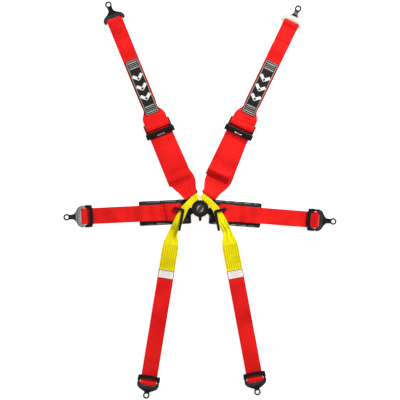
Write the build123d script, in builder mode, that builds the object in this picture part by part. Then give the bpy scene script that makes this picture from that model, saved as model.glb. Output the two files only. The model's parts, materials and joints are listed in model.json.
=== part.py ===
from build123d import *
import os
from math import atan2, cos, degrees, hypot, radians, sin

# Six-point racing harness laid out flat, in millimetres.
# Origin: centre of the buckle on its back face. +Z out of the buckle's front,
# +Y towards the shoulder belts, +X towards the right lap belt.

os.makedirs("parts", exist_ok=True)

# ---------------------------------------------------------------- driving sizes
# Lie of the belts
shoulder_adjuster = {"left": (-128.6, 248.9), "right": (125.7, 249.4)}
shoulder_lean = {"left": 22.1, "right": -25.7}
shoulder_length = {"left": 417.0, "right": 415.0}      # adjuster to bolt hole
tail_length = {"left": 182.0, "right": 173.0}          # adjuster to free end
tongue_lean = 34.0                                     # shoulder tongues from +Y
lap_heading = {"left": 182.7, "right": -4.5}
lap_drop = 7.0                                         # lap belts pass below centre
lap_length = 416.0                                     # centre to bolt hole
leg_fold = {"left": (-85.0, -76.0), "right": (86.0, -76.0)}
leg_hole = {"left": (-167.7, -581.6), "right": (178.6, -571.0)}

# Webbing
web = 1.4
narrow_width = 50.0
wide_width = 75.0
double_web = 2 * web
floor_gap = 0.1

# Buckle
housing_r = 24.0
housing_wall = 2.0
back_plate_t = 2.5
housing_top = 16.0
stud_r = 2.6
knob_r = 26.5
knob_low = 16.3
knob_top = 26.0
lever_reach = 39.0
lever_width = 9.0
lever_root_r = 3.0
knob_edge = 2.4
badge_r = 14.6
badge_t = 0.9
badge_sink = 1.2
turn_gap = 0.15

# Inside the buckle
post_angles = (90, 240, 300)
post_ring = 19.5
post_r = 2.3
screw_r = 1.3
screw_gap = 0.1
screw_low = 0.3
screw_long = 8.5
screw_hole_deep = 7.0
sleeve_r = 5.0
sleeve_rise = 1.2                                      # sleeve into the knob
stud_rise = 1.5                                        # stud above the sleeve
cam_low = 5.5
cam_t = 1.5
cam_r = 9.0
lobe_r = 2.5
spring_r = 7.5
spring_wire = 0.45
spring_pitch = 1.3
spring_high = 3.9
latch_half = 3.0
latch_t = 1.3
latch_foot = 6.5
latch_leaf = 7.3
latch_drop = 0.6                                       # leaf below the tongue

# Tongues
tongue_low = 10.0
tongue_t = 2.5
blade_half = 8.0
blade_tip = 11.5
neck_half = 12.0
neck_from = 27.5
head_from = 45.5
head_half = 24.5
tongue_slot_from = 47.5
bar_from = 51.0
bar_wide = 4.0
latch_hole_r = 2.5
latch_hole_at = 16.5
tongue_gap = 0.4
edge_break = 0.4

# Webbing loop on a tongue bar
loop_half = 20.0
loop_gap = 0.35

# Anchor bracket
bolt_hole_r = 5.75
eye_r = 10.3
bracket_t = 3.0
bracket_lift = 3.3
neck_width = 15.0
wing_half = narrow_width / 2 + 7
anchor_bar_wide = 5.0
anchor_slot_wide = 9.0
liner_t = 1.6
liner_back = 21.5                                      # liner's near edge before the anchor bar

# Two lengths of anchor: hole to bar, where the plate steps up, where the neck widens, slide length
anchor_sizes = {
    "long": {"bar_at": 50.0, "step": (13.0, 23.0), "neck": (16.0, 23.0), "slide": 24.0},
    "short": {"bar_at": 36.0, "step": (10.8, 13.8), "neck": (9.0, 11.8), "slide": 20.0},
}

# Three-bar slide
slide_half = narrow_width / 2 + 9.5
slide_from_bar = 6.0
slide_bar_low = 2.1
slide_bar_top = 2.4
strap_low = 2.5
slide_gap = 0.4
under_bar_at = 10.0                                    # lower bar past the near edge
under_bar_wide = 6.0

# Pull-down adjuster
adjuster_half = 46.3
cheek_in = 39.5
cheek_t = 3.0
frame_near = -20.0
frame_far = 24.0
base_low = 2.0
base_t = 2.0
pin_at = -6.0
pin_height = 12.0
pin_r = 2.0
roller_at = 5.0
roller_height = 11.0
roller_r = 3.2
roller_journal_r = 1.8
run_low = 6.0                                          # webbing through the adjuster
cross_bar_wide = 6.0
loop_slot = 6.0                                        # opening for the lower webbing's loop
lever_high = 18.2
lever_plate_t = 2.4
lever_slot = (28.0, 5.2)
ear_t = 2.6
ear_r = 3.4

# Shoulder belts
strap_stations = [(72, 26, 33), (90, 32, 41), (108, 36, 43)]  # from the buckle, outer half, inner half
narrow_from = 45.0                                     # the upper belt narrows between these
narrow_to = 63.0
shoulder_seam = 112.0                                  # bolt hole to the sewn end
label_t = 1.0

# Lap pads, hooks and leg loops
pad_near = 29.0
pad_long = 161.0
pad_width = 77.0
pad_t = 6.5
pad_corner = 3.0
pad_edge = 2.0
lap_fold_at = 208.0
hook_corner = {"left": (-52.1, -4.0), "right": (47.1, -8.4)}
hook_tip = {"left": (-63.9, -65.4), "right": (57.7, -65.1)}
hook_post = {"left": (-77.5, 2.2), "right": (79.0, -0.5)}
hook_low = 19.2
hook_t = 6.2
hook_width = 8.4
hook_base = (34.0, 40.0, 1.6)
hook_base_at = 84.0
loop_reach = 35.3                                      # loop centre line to buckle centre
loop_lean = 43.4
loop_band_half = 10.2
bundle_low = 15.8
bundle_t = 3.0
label_long = 181.0
label_width = 43.0
label_from = 49.5
fold_gap = 2.0
loop_fold_from = 23.5                                  # fold end beyond the foot of the centre line
loop_knee_from = 28.8                                  # knee on the other side of that foot
loop_foot_half = 13.5                                  # half width of the gathered webbing at the hook
hook_cross = (64.5, -32.0)
yellow_long = 117.0
overlap_from = 50.0
care_label_size = (25.0, 44.0, 0.6)

SIDES = ("left", "right")
OUT = {"left": -1.0, "right": 1.0}


# ---------------------------------------------------------------- helpers
def lie(point, heading):
    """Plan plane at a point: local x along the heading, local z up."""
    turn = radians(heading)
    return Plane(origin=(point[0], point[1], 0), x_dir=(cos(turn), sin(turn), 0), z_dir=(0, 0, 1))


def on_edge(place):
    """Side plane of a strap: local x along the strap, local y up."""
    return Plane(origin=place.origin, x_dir=place.x_dir, z_dir=place.x_dir.cross(place.z_dir))


def heading_between(start, end):
    return degrees(atan2(end[1] - start[1], end[0] - start[0]))


def save(piece, name):
    piece.label = name
    export_step(piece, f"parts/{name}.step")
    print(f"{name:28s} {piece.volume / 1000:8.2f} cm3")


def side_shape(place, points, half):
    """A closed side outline drawn out to both sides of a strap's middle."""
    with BuildPart() as shape:
        with BuildSketch(on_edge(place)):
            with BuildLine():
                Polyline(*points, close=True)
            make_face()
        extrude(amount=half, both=True)
    return shape.part


# ---------------------------------------------------------------- repeated pieces
def make_tongue(place):
    """Flat steel tongue: blade with a latch hole, neck, and a head with a webbing slot."""
    bar_to = bar_from + bar_wide
    with BuildPart() as tongue:
        with BuildSketch(place.offset(tongue_low)):
            with BuildLine():
                half = Polyline(
                    (blade_tip, 0), (blade_tip, blade_half - 2), (blade_tip + 2, blade_half),
                    (neck_from - 2, blade_half), (neck_from, neck_half), (head_from - 3, neck_half),
                    (head_from, head_half - 4), (head_from + 3, head_half), (bar_to, head_half), (bar_to, 0),
                )
                mirror(half, about=Plane.XZ)
            make_face()
        extrude(amount=tongue_t)
        slot_long = 2 * (loop_half + 1)
        with BuildSketch(place.offset(tongue_low)):
            with Locations(((tongue_slot_from + bar_from) / 2, 0)):
                Rectangle(bar_from - tongue_slot_from, slot_long)
            with Locations((latch_hole_at, 0)):
                Circle(latch_hole_r)
        extrude(amount=tongue_t, mode=Mode.SUBTRACT)
        chamfer(tongue.faces().sort_by(Axis.Z)[-1].outer_wire().edges(), edge_break)
        chamfer(tongue.faces().sort_by(Axis.Z)[0].outer_wire().edges(), edge_break)
    return tongue.part


def make_bracket(place, size):
    """Bolt-in anchor: an eye, a stepped neck, and a wide head with a webbing slot."""
    bar_at = size["bar_at"]
    step_from, step_to = size["step"]
    neck_from_eye, neck_to = size["neck"]
    bar_to = bar_at + anchor_bar_wide / 2
    slot_to = bar_at - anchor_bar_wide / 2
    low = bracket_lift
    high = bracket_lift + bracket_t
    with BuildPart() as bracket:
        with BuildSketch(on_edge(place)):
            with BuildLine():
                Polyline(
                    (-eye_r - 1, 0), (step_from, 0), (step_to, low), (bar_to, low), (bar_to, high),
                    (step_to - 1, high), (step_from - 1, bracket_t), (-eye_r - 1, bracket_t), close=True,
                )
            make_face()
        extrude(amount=wing_half + 1, both=True)
        with BuildSketch(place.offset(-1)):
            Circle(eye_r)
            with Locations((step_from / 2, 0)):
                Rectangle(step_from, neck_width)
            with BuildLine():
                half = Polyline(
                    (neck_from_eye, 0), (neck_from_eye, neck_width / 2), (neck_to, neck_width / 2 + 1),
                    (bar_at - 21, neck_width / 2 + 8), (bar_at - 16, wing_half - 7),
                    (bar_at - 11, wing_half - 1), (bar_at - 7, wing_half), (bar_to - 4, wing_half),
                    (bar_to, wing_half - 4), (bar_to, 0),
                )
                mirror(half, about=Plane.XZ)
            make_face()
            with Locations(((step_from + neck_to) / 2, 0)):
                Rectangle(neck_to - step_from + 4, neck_width)
        extrude(amount=high + 2, mode=Mode.INTERSECT)
        with BuildSketch(place.offset(-1)):
            Circle(bolt_hole_r)
            with Locations((slot_to - anchor_slot_wide / 2, 0)):
                RectangleRounded(anchor_slot_wide, narrow_width + 4, 2.5)
        extrude(amount=high + 2, mode=Mode.SUBTRACT)
        rims = bracket.faces().filter_by(Axis.Z).sort_by(SortBy.AREA)[-2:]
        for rim in rims:
            chamfer(rim.outer_wire().edges().filter_by(GeomType.LINE), edge_break)
    return bracket.part


def make_liner(place, on_top, size):
    """Moulded liner that shields the webbing from the bracket's outer slot edge."""
    low = bracket_lift + bracket_t if on_top else bracket_lift - liner_t
    bar_at = size["bar_at"]
    near = bar_at - liner_back
    with BuildPart() as liner:
        with BuildSketch(place.offset(low)):
            with BuildLine():
                half = Polyline(
                    (near, 0), (near, 12), (near + 2.5, 19), (near + 6.5, wing_half - 8),
                    (near + 11.5, wing_half - 2.5), (bar_at - 5, wing_half - 1.5),
                    (bar_at, wing_half - 1.5), (bar_at, narrow_width / 2 + 3),
                    (bar_at - 5.5, narrow_width / 2 + 1.5), (bar_at - 5.5, 0),
                )
                mirror(half, about=Plane.XZ)
            make_face()
        extrude(amount=liner_t)
        top = liner.faces().sort_by(Axis.Z)[-1 if on_top else 0]
        chamfer(top.outer_wire().edges(), 0.5)
    return liner.part


def make_slide(place, size):
    """Three-bar slide: two end arms, one bar under the webbing and one arched bar over it."""
    high = strap_low + double_web + slide_gap
    arm_in = narrow_width / 2 + 2
    near = size["bar_at"] + slide_from_bar
    far = near + size["slide"]
    with BuildPart() as top_bar:
        with BuildSketch(place.offset(high)):
            with BuildLine():
                near_bar = ThreePointArc((far - 11, -arm_in - 4), (far - 8.5, 0), (far - 11, arm_in + 4))
                far_bar = ThreePointArc((far - 2, -arm_in - 4), (far + 1.5, 0), (far - 2, arm_in + 4))
                Line(near_bar @ 0, far_bar @ 0)
                Line(near_bar @ 1, far_bar @ 1)
            make_face()
        extrude(amount=slide_bar_top)
        chamfer(top_bar.faces().sort_by(Axis.Z)[-1].outer_wire().edges(), 0.6)
    with BuildPart() as slide:
        with BuildSketch(place):
            with Locations(*[((near + far) / 2, s * (arm_in + slide_half) / 2) for s in (-1, 1)]):
                RectangleRounded(far - near, slide_half - arm_in, 3.5)
        extrude(amount=high + slide_bar_top + 0.3)
        for arm in slide.faces().sort_by(Axis.Z)[-2:]:
            chamfer(arm.outer_wire().edges(), 1.0)
        with BuildSketch(place):
            with Locations((near + under_bar_at, 0)):
                Rectangle(under_bar_wide, 2 * arm_in + 6)
        extrude(amount=slide_bar_low)
        add(top_bar.part)
    return slide.part


def make_anchor_loop(place, strap_to, flat_bottom, size):
    """Webbing folded round an anchor bar and sewn back on itself as a flat strap."""
    bar_at = size["bar_at"]
    bar_axis = bracket_lift + bracket_t / 2
    inner = hypot(anchor_bar_wide, bracket_t) / 2 + loop_gap
    outer = inner + web
    low = bar_axis - outer if flat_bottom else strap_low
    join = bar_at + (25 if flat_bottom else 12)
    with BuildPart() as strap:
        add(side_shape(place, [
            (bar_at, bar_axis - outer), (join, low), (strap_to, low), (strap_to, low + double_web),
            (join, low + double_web), (bar_at, bar_axis + outer),
        ], narrow_width / 2))
        with BuildSketch(on_edge(place)):
            with Locations((bar_at, bar_axis)):
                Circle(outer)
        extrude(amount=narrow_width / 2, both=True)
        with BuildSketch(on_edge(place)):
            with Locations((bar_at, bar_axis)):
                Circle(inner)
        extrude(amount=narrow_width, both=True, mode=Mode.SUBTRACT)
    return strap.part


def tongue_loop_size():
    inner = hypot(bar_wide, tongue_t) / 2 + loop_gap
    return inner, inner + web


# ---------------------------------------------------------------- places
shoulder_tongue_place = {side: lie((0, 0), 90 - OUT[side] * tongue_lean) for side in SIDES}
lap_place = {side: lie((0, -lap_drop), lap_heading[side]) for side in SIDES}
tongue_places = {
    "left_shoulder": shoulder_tongue_place["left"], "right_shoulder": shoulder_tongue_place["right"],
    "left_lap": lap_place["left"], "right_lap": lap_place["right"],
}
long_anchor = anchor_sizes["long"]
short_anchor = anchor_sizes["short"]

# ---------------------------------------------------------------- buckle
post_places = [(post_ring * cos(radians(a)), post_ring * sin(radians(a))) for a in post_angles]
roof_low = housing_top - housing_wall
sleeve_top = knob_low + sleeve_rise
stud_top = sleeve_top + stud_rise
tongue_top = tongue_low + tongue_t

with BuildPart() as back_plate:
    with BuildSketch(Plane.XY):
        Circle(housing_r + 1)
        Circle(stud_r, mode=Mode.SUBTRACT)
        with Locations(*post_places):
            Circle(screw_r + screw_gap, mode=Mode.SUBTRACT)
    extrude(amount=back_plate_t)
    chamfer(back_plate.faces().sort_by(Axis.Z)[0].outer_wire().edges(), 0.6)
save(back_plate.part, "buckle_back_plate")

with BuildPart() as housing:
    with BuildSketch(Plane.XY.offset(back_plate_t)):
        Circle(housing_r)
    extrude(amount=housing_top - back_plate_t)
    fillet(housing.faces().sort_by(Axis.Z)[-1].edges(), 1.5)
    with BuildSketch(Plane.XY.offset(back_plate_t)):
        Circle(housing_r - housing_wall)
    extrude(amount=roof_low - back_plate_t, mode=Mode.SUBTRACT)
    with BuildSketch(Plane.XY.offset(back_plate_t)):
        with Locations(*post_places):
            Circle(post_r)
    extrude(amount=roof_low - back_plate_t)
    with BuildSketch(Plane.XY.offset(back_plate_t)):
        with Locations(*post_places):
            Circle(screw_r + screw_gap)
    extrude(amount=screw_hole_deep, mode=Mode.SUBTRACT)
    with BuildSketch(Plane.XY.offset(roof_low)):
        Circle(sleeve_r + 2 * turn_gap)
    extrude(amount=housing_wall, mode=Mode.SUBTRACT)
    for place in tongue_places.values():
        with BuildSketch(place.offset(tongue_low - tongue_gap)):
            with Locations((housing_r - 1.3, 0)):
                Rectangle(16.5, 2 * (blade_half + tongue_gap))
        extrude(amount=tongue_t + 2 * tongue_gap, mode=Mode.SUBTRACT)
save(housing.part, "buckle_housing")

with BuildPart() as screws:
    with BuildSketch(Plane.XY.offset(screw_low)):
        with Locations(*post_places):
            Circle(screw_r)
    extrude(amount=screw_long)
save(screws.part, "housing_screws")

with BuildPart() as stud:
    with BuildSketch(Plane.XY):
        Circle(stud_r - 0.02)
    extrude(amount=stud_top)
    chamfer(stud.faces().sort_by(Axis.Z)[-1].edges(), 0.5)
save(stud.part, "centre_stud")

with BuildPart() as cam:
    with BuildSketch(Plane.XY.offset(back_plate_t + 0.5)):
        Circle(sleeve_r)
    extrude(amount=sleeve_top - back_plate_t - 0.5)
    with BuildSketch(Plane.XY.offset(cam_low)):
        Circle(cam_r - 1.5)
        for place in tongue_places.values():
            reach = degrees(atan2(place.x_dir.Y, place.x_dir.X))
            with Locations(((cam_r - lobe_r) * cos(radians(reach)), (cam_r - lobe_r) * sin(radians(reach)))):
                Circle(lobe_r)
    extrude(amount=cam_t)
    with BuildSketch(Plane.XY):
        Circle(stud_r + turn_gap)
    extrude(amount=housing_top + 4, mode=Mode.SUBTRACT)
save(cam.part, "release_cam")

with BuildPart() as spring:
    with BuildLine() as coil:
        Helix(pitch=spring_pitch, height=spring_high, radius=spring_r, center=(0, 0, cam_low + cam_t + 1.2))
    with BuildSketch(Plane(origin=coil.line @ 0, z_dir=coil.line % 0)):
        Circle(spring_wire)
    sweep(is_frenet=True)
save(spring.part, "return_spring")

leaf_top = tongue_low - latch_drop
near = blade_tip
foot_to = near + latch_foot
leaf_to = near + latch_leaf
foot_top = back_plate_t + latch_t
with BuildPart() as latches:
    for place in tongue_places.values():
        with BuildSketch(on_edge(place)):
            with BuildLine():
                Polyline(
                    (near, back_plate_t), (foot_to, back_plate_t), (foot_to, foot_top),
                    (near + latch_t, foot_top), (near + latch_t, leaf_top - latch_t),
                    (leaf_to, leaf_top - latch_t), (leaf_to, leaf_top), (near, leaf_top), close=True,
                )
            make_face()
        extrude(amount=latch_half, both=True)
        with BuildSketch(place.offset(leaf_top)):
            with Locations((latch_hole_at, 0)):
                Circle(latch_hole_r - 0.3)
        extrude(amount=tongue_top - leaf_top - 0.4)
save(latches.part, "tongue_latches")

with BuildPart() as knob:
    with BuildSketch(Plane.XY.offset(knob_low)) as face:
        Circle(knob_r)
        with Locations((0, -lever_reach / 2)):
            SlotOverall(lever_reach, lever_width, rotation=90)
        roots = face.vertices().filter_by(lambda v: -knob_r < v.Y < -knob_r + 4 and abs(v.X) > 3)
        fillet(roots, lever_root_r)
    extrude(amount=knob_top - knob_low)
    chamfer(knob.faces().sort_by(Axis.Z)[-1].outer_wire().edges(), knob_edge)
    fillet(knob.faces().sort_by(Axis.Z)[-1].outer_wire().edges(), 1.0)
    with BuildSketch(Plane.XY.offset(knob_top)):
        Circle(badge_r + 0.4)
    extrude(amount=-badge_sink, mode=Mode.SUBTRACT)
    with BuildSketch(Plane.XY.offset(knob_low)):
        Circle(sleeve_r + 0.05)
    extrude(amount=sleeve_top - knob_low + 0.05, mode=Mode.SUBTRACT)
    with BuildSketch(Plane.XY.offset(knob_low)):
        Circle(stud_r + turn_gap)
    extrude(amount=stud_top - knob_low + 0.5, mode=Mode.SUBTRACT)
save(knob.part, "release_knob")

with BuildPart() as badge:
    with BuildSketch(Plane.XY.offset(knob_top - badge_sink)):
        Circle(badge_r)
    extrude(amount=badge_t)
    chamfer(badge.faces().sort_by(Axis.Z)[-1].edges(), 0.3)
save(badge.part, "knob_badge")

for name, place in tongue_places.items():
    save(make_tongue(place), f"{name}_tongue")

# ---------------------------------------------------------------- shoulder belts
loop_inner, loop_outer = tongue_loop_size()
bar_middle = bar_from + bar_wide / 2
bar_height = tongue_low + tongue_t / 2
strap_top = floor_gap + web
run_top = run_low + web
lower_stations = [(bar_middle, loop_half, loop_half)] + strap_stations
bar_u = frame_near + cross_bar_wide
bar_u_to = bar_u + cross_bar_wide
wide = wide_width / 2
cheek_out = cheek_in + cheek_t
ear_out = cheek_in - 0.4
lever_low = lever_high - lever_plate_t

for side in SIDES:
    tongue_place = shoulder_tongue_place[side]
    run = lie(shoulder_adjuster[side], 90 + shoulder_lean[side])
    length = shoulder_length[side]
    inward = OUT[side]

    outer_edge = [tongue_place.from_local_coords(Vector(r, -inward * a, 0)) for r, a, b in lower_stations]
    inner_edge = [tongue_place.from_local_coords(Vector(r, inward * b, 0)) for r, a, b in lower_stations]
    first = tongue_place.from_local_coords(Vector(bar_middle - loop_outer, -inward * loop_half, 0))
    last = tongue_place.from_local_coords(Vector(bar_middle - loop_outer, inward * loop_half, 0))
    far_outer = run.from_local_coords(Vector(-10, -inward * wide, 0))
    far_inner = run.from_local_coords(Vector(-10, inward * wide, 0))
    outline = [first] + outer_edge + [far_outer, far_inner] + inner_edge[::-1] + [last]
    with BuildPart() as lower:
        add(side_shape(tongue_place, [
            (bar_middle, bar_height - loop_outer), (62, 6.4), (84, floor_gap), (360, floor_gap),
            (360, strap_top), (88, strap_top), (84, strap_top + 1.4), (66, 10.4),
            (bar_middle, bar_height + loop_outer),
        ], 90))
        with BuildSketch(on_edge(tongue_place)):
            with Locations((bar_middle, bar_height)):
                Circle(loop_outer)
        extrude(amount=wide, both=True)
        with BuildSketch(Plane.XY.offset(-1)):
            with BuildLine():
                Polyline(*[(p.X, p.Y) for p in outline], close=True)
            make_face()
        extrude(amount=30, mode=Mode.INTERSECT)
        with BuildSketch(on_edge(tongue_place)):
            with Locations((bar_middle, bar_height)):
                Circle(loop_inner)
        extrude(amount=wide, both=True, mode=Mode.SUBTRACT)
        add(side_shape(run, [
            (bar_u + 7.8, floor_gap), (bar_u + 7.8, run_low - 0.4), (bar_u - 0.4, run_low - 0.4),
            (bar_u - 22, strap_top + 1.2), (bar_u - 36, strap_top + 1.2), (bar_u - 36, floor_gap),
        ], wide))
        add(side_shape(run, [
            (bar_u - 0.3, base_low - 0.3), (bar_u_to + 0.3, base_low - 0.3),
            (bar_u_to + 0.3, base_low + base_t + 0.3), (bar_u - 0.3, base_low + base_t + 0.3),
        ], wide + 5), mode=Mode.SUBTRACT)
    save(lower.part, f"{side}_shoulder_lower_webbing")

    # Adjuster frame: a cross bar for the lower webbing, a base plate and two cheeks
    with BuildPart() as frame:
        with BuildSketch(run.offset(base_low)):
            with Locations(((bar_u + frame_far) / 2, 0)):
                Rectangle(frame_far - bar_u, 2 * cheek_out)
            with Locations((bar_u_to + loop_slot / 2, 0)):
                Rectangle(loop_slot, 2 * cheek_in, mode=Mode.SUBTRACT)
        extrude(amount=base_t)
        for turn in (-1, 1):
            with BuildSketch(on_edge(run).offset(turn * cheek_in)):
                with BuildLine():
                    Polyline(
                        (frame_near, base_low), (frame_far, base_low), (frame_far, base_low + 6),
                        (frame_far - 5, 14), (-1, 14), (-1.5, 9), (frame_near + 2, 8.5), (frame_near, 6),
                        close=True,
                    )
                make_face()
                with Locations((pin_at, pin_height)):
                    Circle(pin_r + 1.4)
                with Locations((pin_at, pin_height - 2)):
                    Rectangle(2 * pin_r + 2.8, 4)
                with Locations((pin_at, pin_height)):
                    Circle(pin_r + 0.05, mode=Mode.SUBTRACT)
                with Locations((roller_at, roller_height)):
                    Circle(roller_journal_r + 0.1, mode=Mode.SUBTRACT)
            extrude(amount=turn * cheek_t)
    save(frame.part, f"{side}_adjuster_frame")

    with BuildPart() as roller:
        with BuildSketch(on_edge(run)):
            with Locations((roller_at, roller_height)):
                Circle(roller_r)
        extrude(amount=cheek_in - 0.3, both=True)
        with BuildSketch(on_edge(run)):
            with Locations((roller_at, roller_height)):
                Circle(roller_journal_r)
        extrude(amount=cheek_out, both=True)
    save(roller.part, f"{side}_adjuster_lock_bar")

    with BuildPart() as pin:
        with BuildSketch(on_edge(run)):
            with Locations((pin_at, pin_height)):
                Circle(pin_r)
        extrude(amount=cheek_out + 1.2, both=True)
        for turn in (-1, 1):
            with BuildSketch(on_edge(run).offset(turn * (cheek_out + 0.2))):
                with Locations((pin_at, pin_height)):
                    Circle(3.0)
            extrude(amount=turn * 1.2)
    save(pin.part, f"{side}_adjuster_pin")

    # Lever: a wide folded bar whose drooping lip is lifted to free the webbing
    with BuildPart() as lever:
        add(side_shape(run, [
            (pin_at - 0.5, lever_low), (pin_at - 9, lever_low), (frame_near - 1, 10.8),
            (frame_near - 2.8, 12), (pin_at - 10.5, lever_high), (pin_at - 0.5, lever_high),
        ], adjuster_half))
        for turn in (-1, 1):
            with BuildSketch(on_edge(run).offset(turn * (ear_out - ear_t))):
                with BuildLine():
                    Polyline((pin_at + ear_r, pin_height), (pin_at - 0.5, 17), (pin_at - 8, 17),
                             (pin_at - ear_r, pin_height), close=True)
                make_face()
                with Locations((pin_at, pin_height)):
                    Circle(ear_r)
            extrude(amount=turn * ear_t)
        with BuildSketch(on_edge(run)):
            with Locations((pin_at, pin_height)):
                Circle(pin_r + 0.1)
        extrude(amount=cheek_in, both=True, mode=Mode.SUBTRACT)
        with BuildSketch(run):
            with Locations((frame_near + 1.4, 0)):
                SlotOverall(*lever_slot, rotation=90)
        extrude(amount=30, mode=Mode.SUBTRACT)
        chamfer(lever.edges().filter_by(Axis(run.origin, run.y_dir)).sort_by(Axis.Z)[-2:], 0.7)
    save(lever.part, f"{side}_adjuster_lever")

    # Upper webbing: a wide tail and run through the adjuster, narrowing to the anchor
    anchor = lie(tuple(run.from_local_coords(Vector(length, 0, 0)))[:2], 270 + shoulder_lean[side])
    tail = tail_length[side]
    sewn_at = length - shoulder_seam + 2
    with BuildPart() as upper:
        add(side_shape(run, [
            (-tail, run_low), (26, run_low), (48, floor_gap), (sewn_at, floor_gap),
            (sewn_at, strap_top), (48.4, strap_top), (26.4, run_top), (-tail, run_top),
        ], wide))
        with BuildSketch(run.offset(-1)):
            with BuildLine():
                half_outline = Polyline(
                    (-tail, 0), (-tail, wide), (narrow_from, wide), (narrow_to, narrow_width / 2),
                    (length, narrow_width / 2), (length, 0),
                )
                mirror(half_outline, about=Plane.XZ)
            make_face()
        extrude(amount=30, mode=Mode.INTERSECT)
        add(make_anchor_loop(anchor, shoulder_seam, True, long_anchor))
    save(upper.part, f"{side}_shoulder_upper_webbing")

    with BuildPart() as label:
        with BuildSketch(run.offset(strap_top)):
            with Locations((label_from + label_long / 2, 0)):
                RectangleRounded(label_long, label_width, 2)
        extrude(amount=label_t)
        chamfer(label.faces().sort_by(Axis.Z)[-1].edges(), 0.3)
    save(label.part, f"{side}_shoulder_label")

    save(make_bracket(anchor, long_anchor), f"{side}_shoulder_bracket")
    save(make_liner(anchor, side == "right", long_anchor), f"{side}_shoulder_bracket_liner")

# ---------------------------------------------------------------- lap belts
strap_high = strap_low + double_web
lap_low = pad_t + 0.5
lap_high = lap_low + double_web
narrow = narrow_width / 2
pad_far = pad_near + pad_long
for side in SIDES:
    place = lap_place[side]
    with BuildPart() as inner:
        add(side_shape(place, [
            (bar_middle, bar_height - loop_outer), (66, lap_low), (pad_far + 2, lap_low),
            (lap_fold_at - 3, strap_low), (lap_fold_at - fold_gap, strap_low),
            (lap_fold_at - fold_gap, strap_high), (lap_fold_at - 2.4, strap_high),
            (pad_far + 2.6, lap_high), (66, lap_high),
            (bar_middle, bar_height + loop_outer),
        ], narrow))
        with BuildSketch(on_edge(place)):
            with Locations((bar_middle, bar_height)):
                Circle(loop_outer)
        extrude(amount=narrow, both=True)
        with BuildSketch(place.offset(-1)):
            with BuildLine():
                half_outline = Polyline(
                    (bar_middle - loop_outer, 0), (bar_middle - loop_outer, loop_half),
                    (bar_middle + 6, loop_half), (74, narrow), (lap_fold_at, narrow), (lap_fold_at, 0),
                )
                mirror(half_outline, about=Plane.XZ)
            make_face()
        extrude(amount=30, mode=Mode.INTERSECT)
        with BuildSketch(on_edge(place)):
            with Locations((bar_middle, bar_height)):
                Circle(loop_inner)
        extrude(amount=narrow + 5, both=True, mode=Mode.SUBTRACT)
    save(inner.part, f"{side}_lap_inner_webbing")

    with BuildPart() as pad:
        with BuildSketch(place):
            with Locations((pad_near + pad_long / 2, 0)):
                RectangleRounded(pad_long, pad_width, pad_corner)
        extrude(amount=pad_t)
        fillet(pad.faces().sort_by(Axis.Z)[-1].edges(), pad_edge)
    save(pad.part, f"{side}_lap_pad")

    # Open hook sewn to the lap belt: base plate, post, cross arm and free arm
    corner = hook_corner[side]
    base_long, base_wide, base_thick = hook_base
    with BuildPart() as hook:
        with BuildSketch(place.offset(lap_high)):
            with Locations((hook_base_at, 0)):
                RectangleRounded(base_long, base_wide, 4)
        extrude(amount=base_thick)
        with BuildSketch(Plane.XY.offset(lap_high)):
            with Locations(hook_post[side]):
                Circle(hook_width / 2)
        extrude(amount=hook_low + hook_t - lap_high)
        with BuildSketch(Plane.XY.offset(hook_low)):
            for end in (hook_post[side], hook_tip[side]):
                middle = ((end[0] + corner[0]) / 2, (end[1] + corner[1]) / 2)
                span = hypot(end[0] - corner[0], end[1] - corner[1])
                with Locations(middle):
                    SlotCenterToCenter(span, hook_width, rotation=heading_between(corner, end))
        extrude(amount=hook_t)
        chamfer(hook.faces().sort_by(Axis.Z)[-1].outer_wire().edges(), 0.8)
    save(hook.part, f"{side}_leg_hook")

    anchor = lie(tuple(place.from_local_coords(Vector(lap_length, 0, 0)))[:2], lap_heading[side] + 180)
    outer = make_anchor_loop(anchor, lap_length - lap_fold_at - fold_gap, False, long_anchor)
    save(outer, f"{side}_lap_outer_webbing")
    save(make_slide(anchor, long_anchor), f"{side}_lap_slide")
    save(make_bracket(anchor, long_anchor), f"{side}_lap_bracket")
    save(make_liner(anchor, side == "left", long_anchor), f"{side}_lap_bracket_liner")

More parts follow.
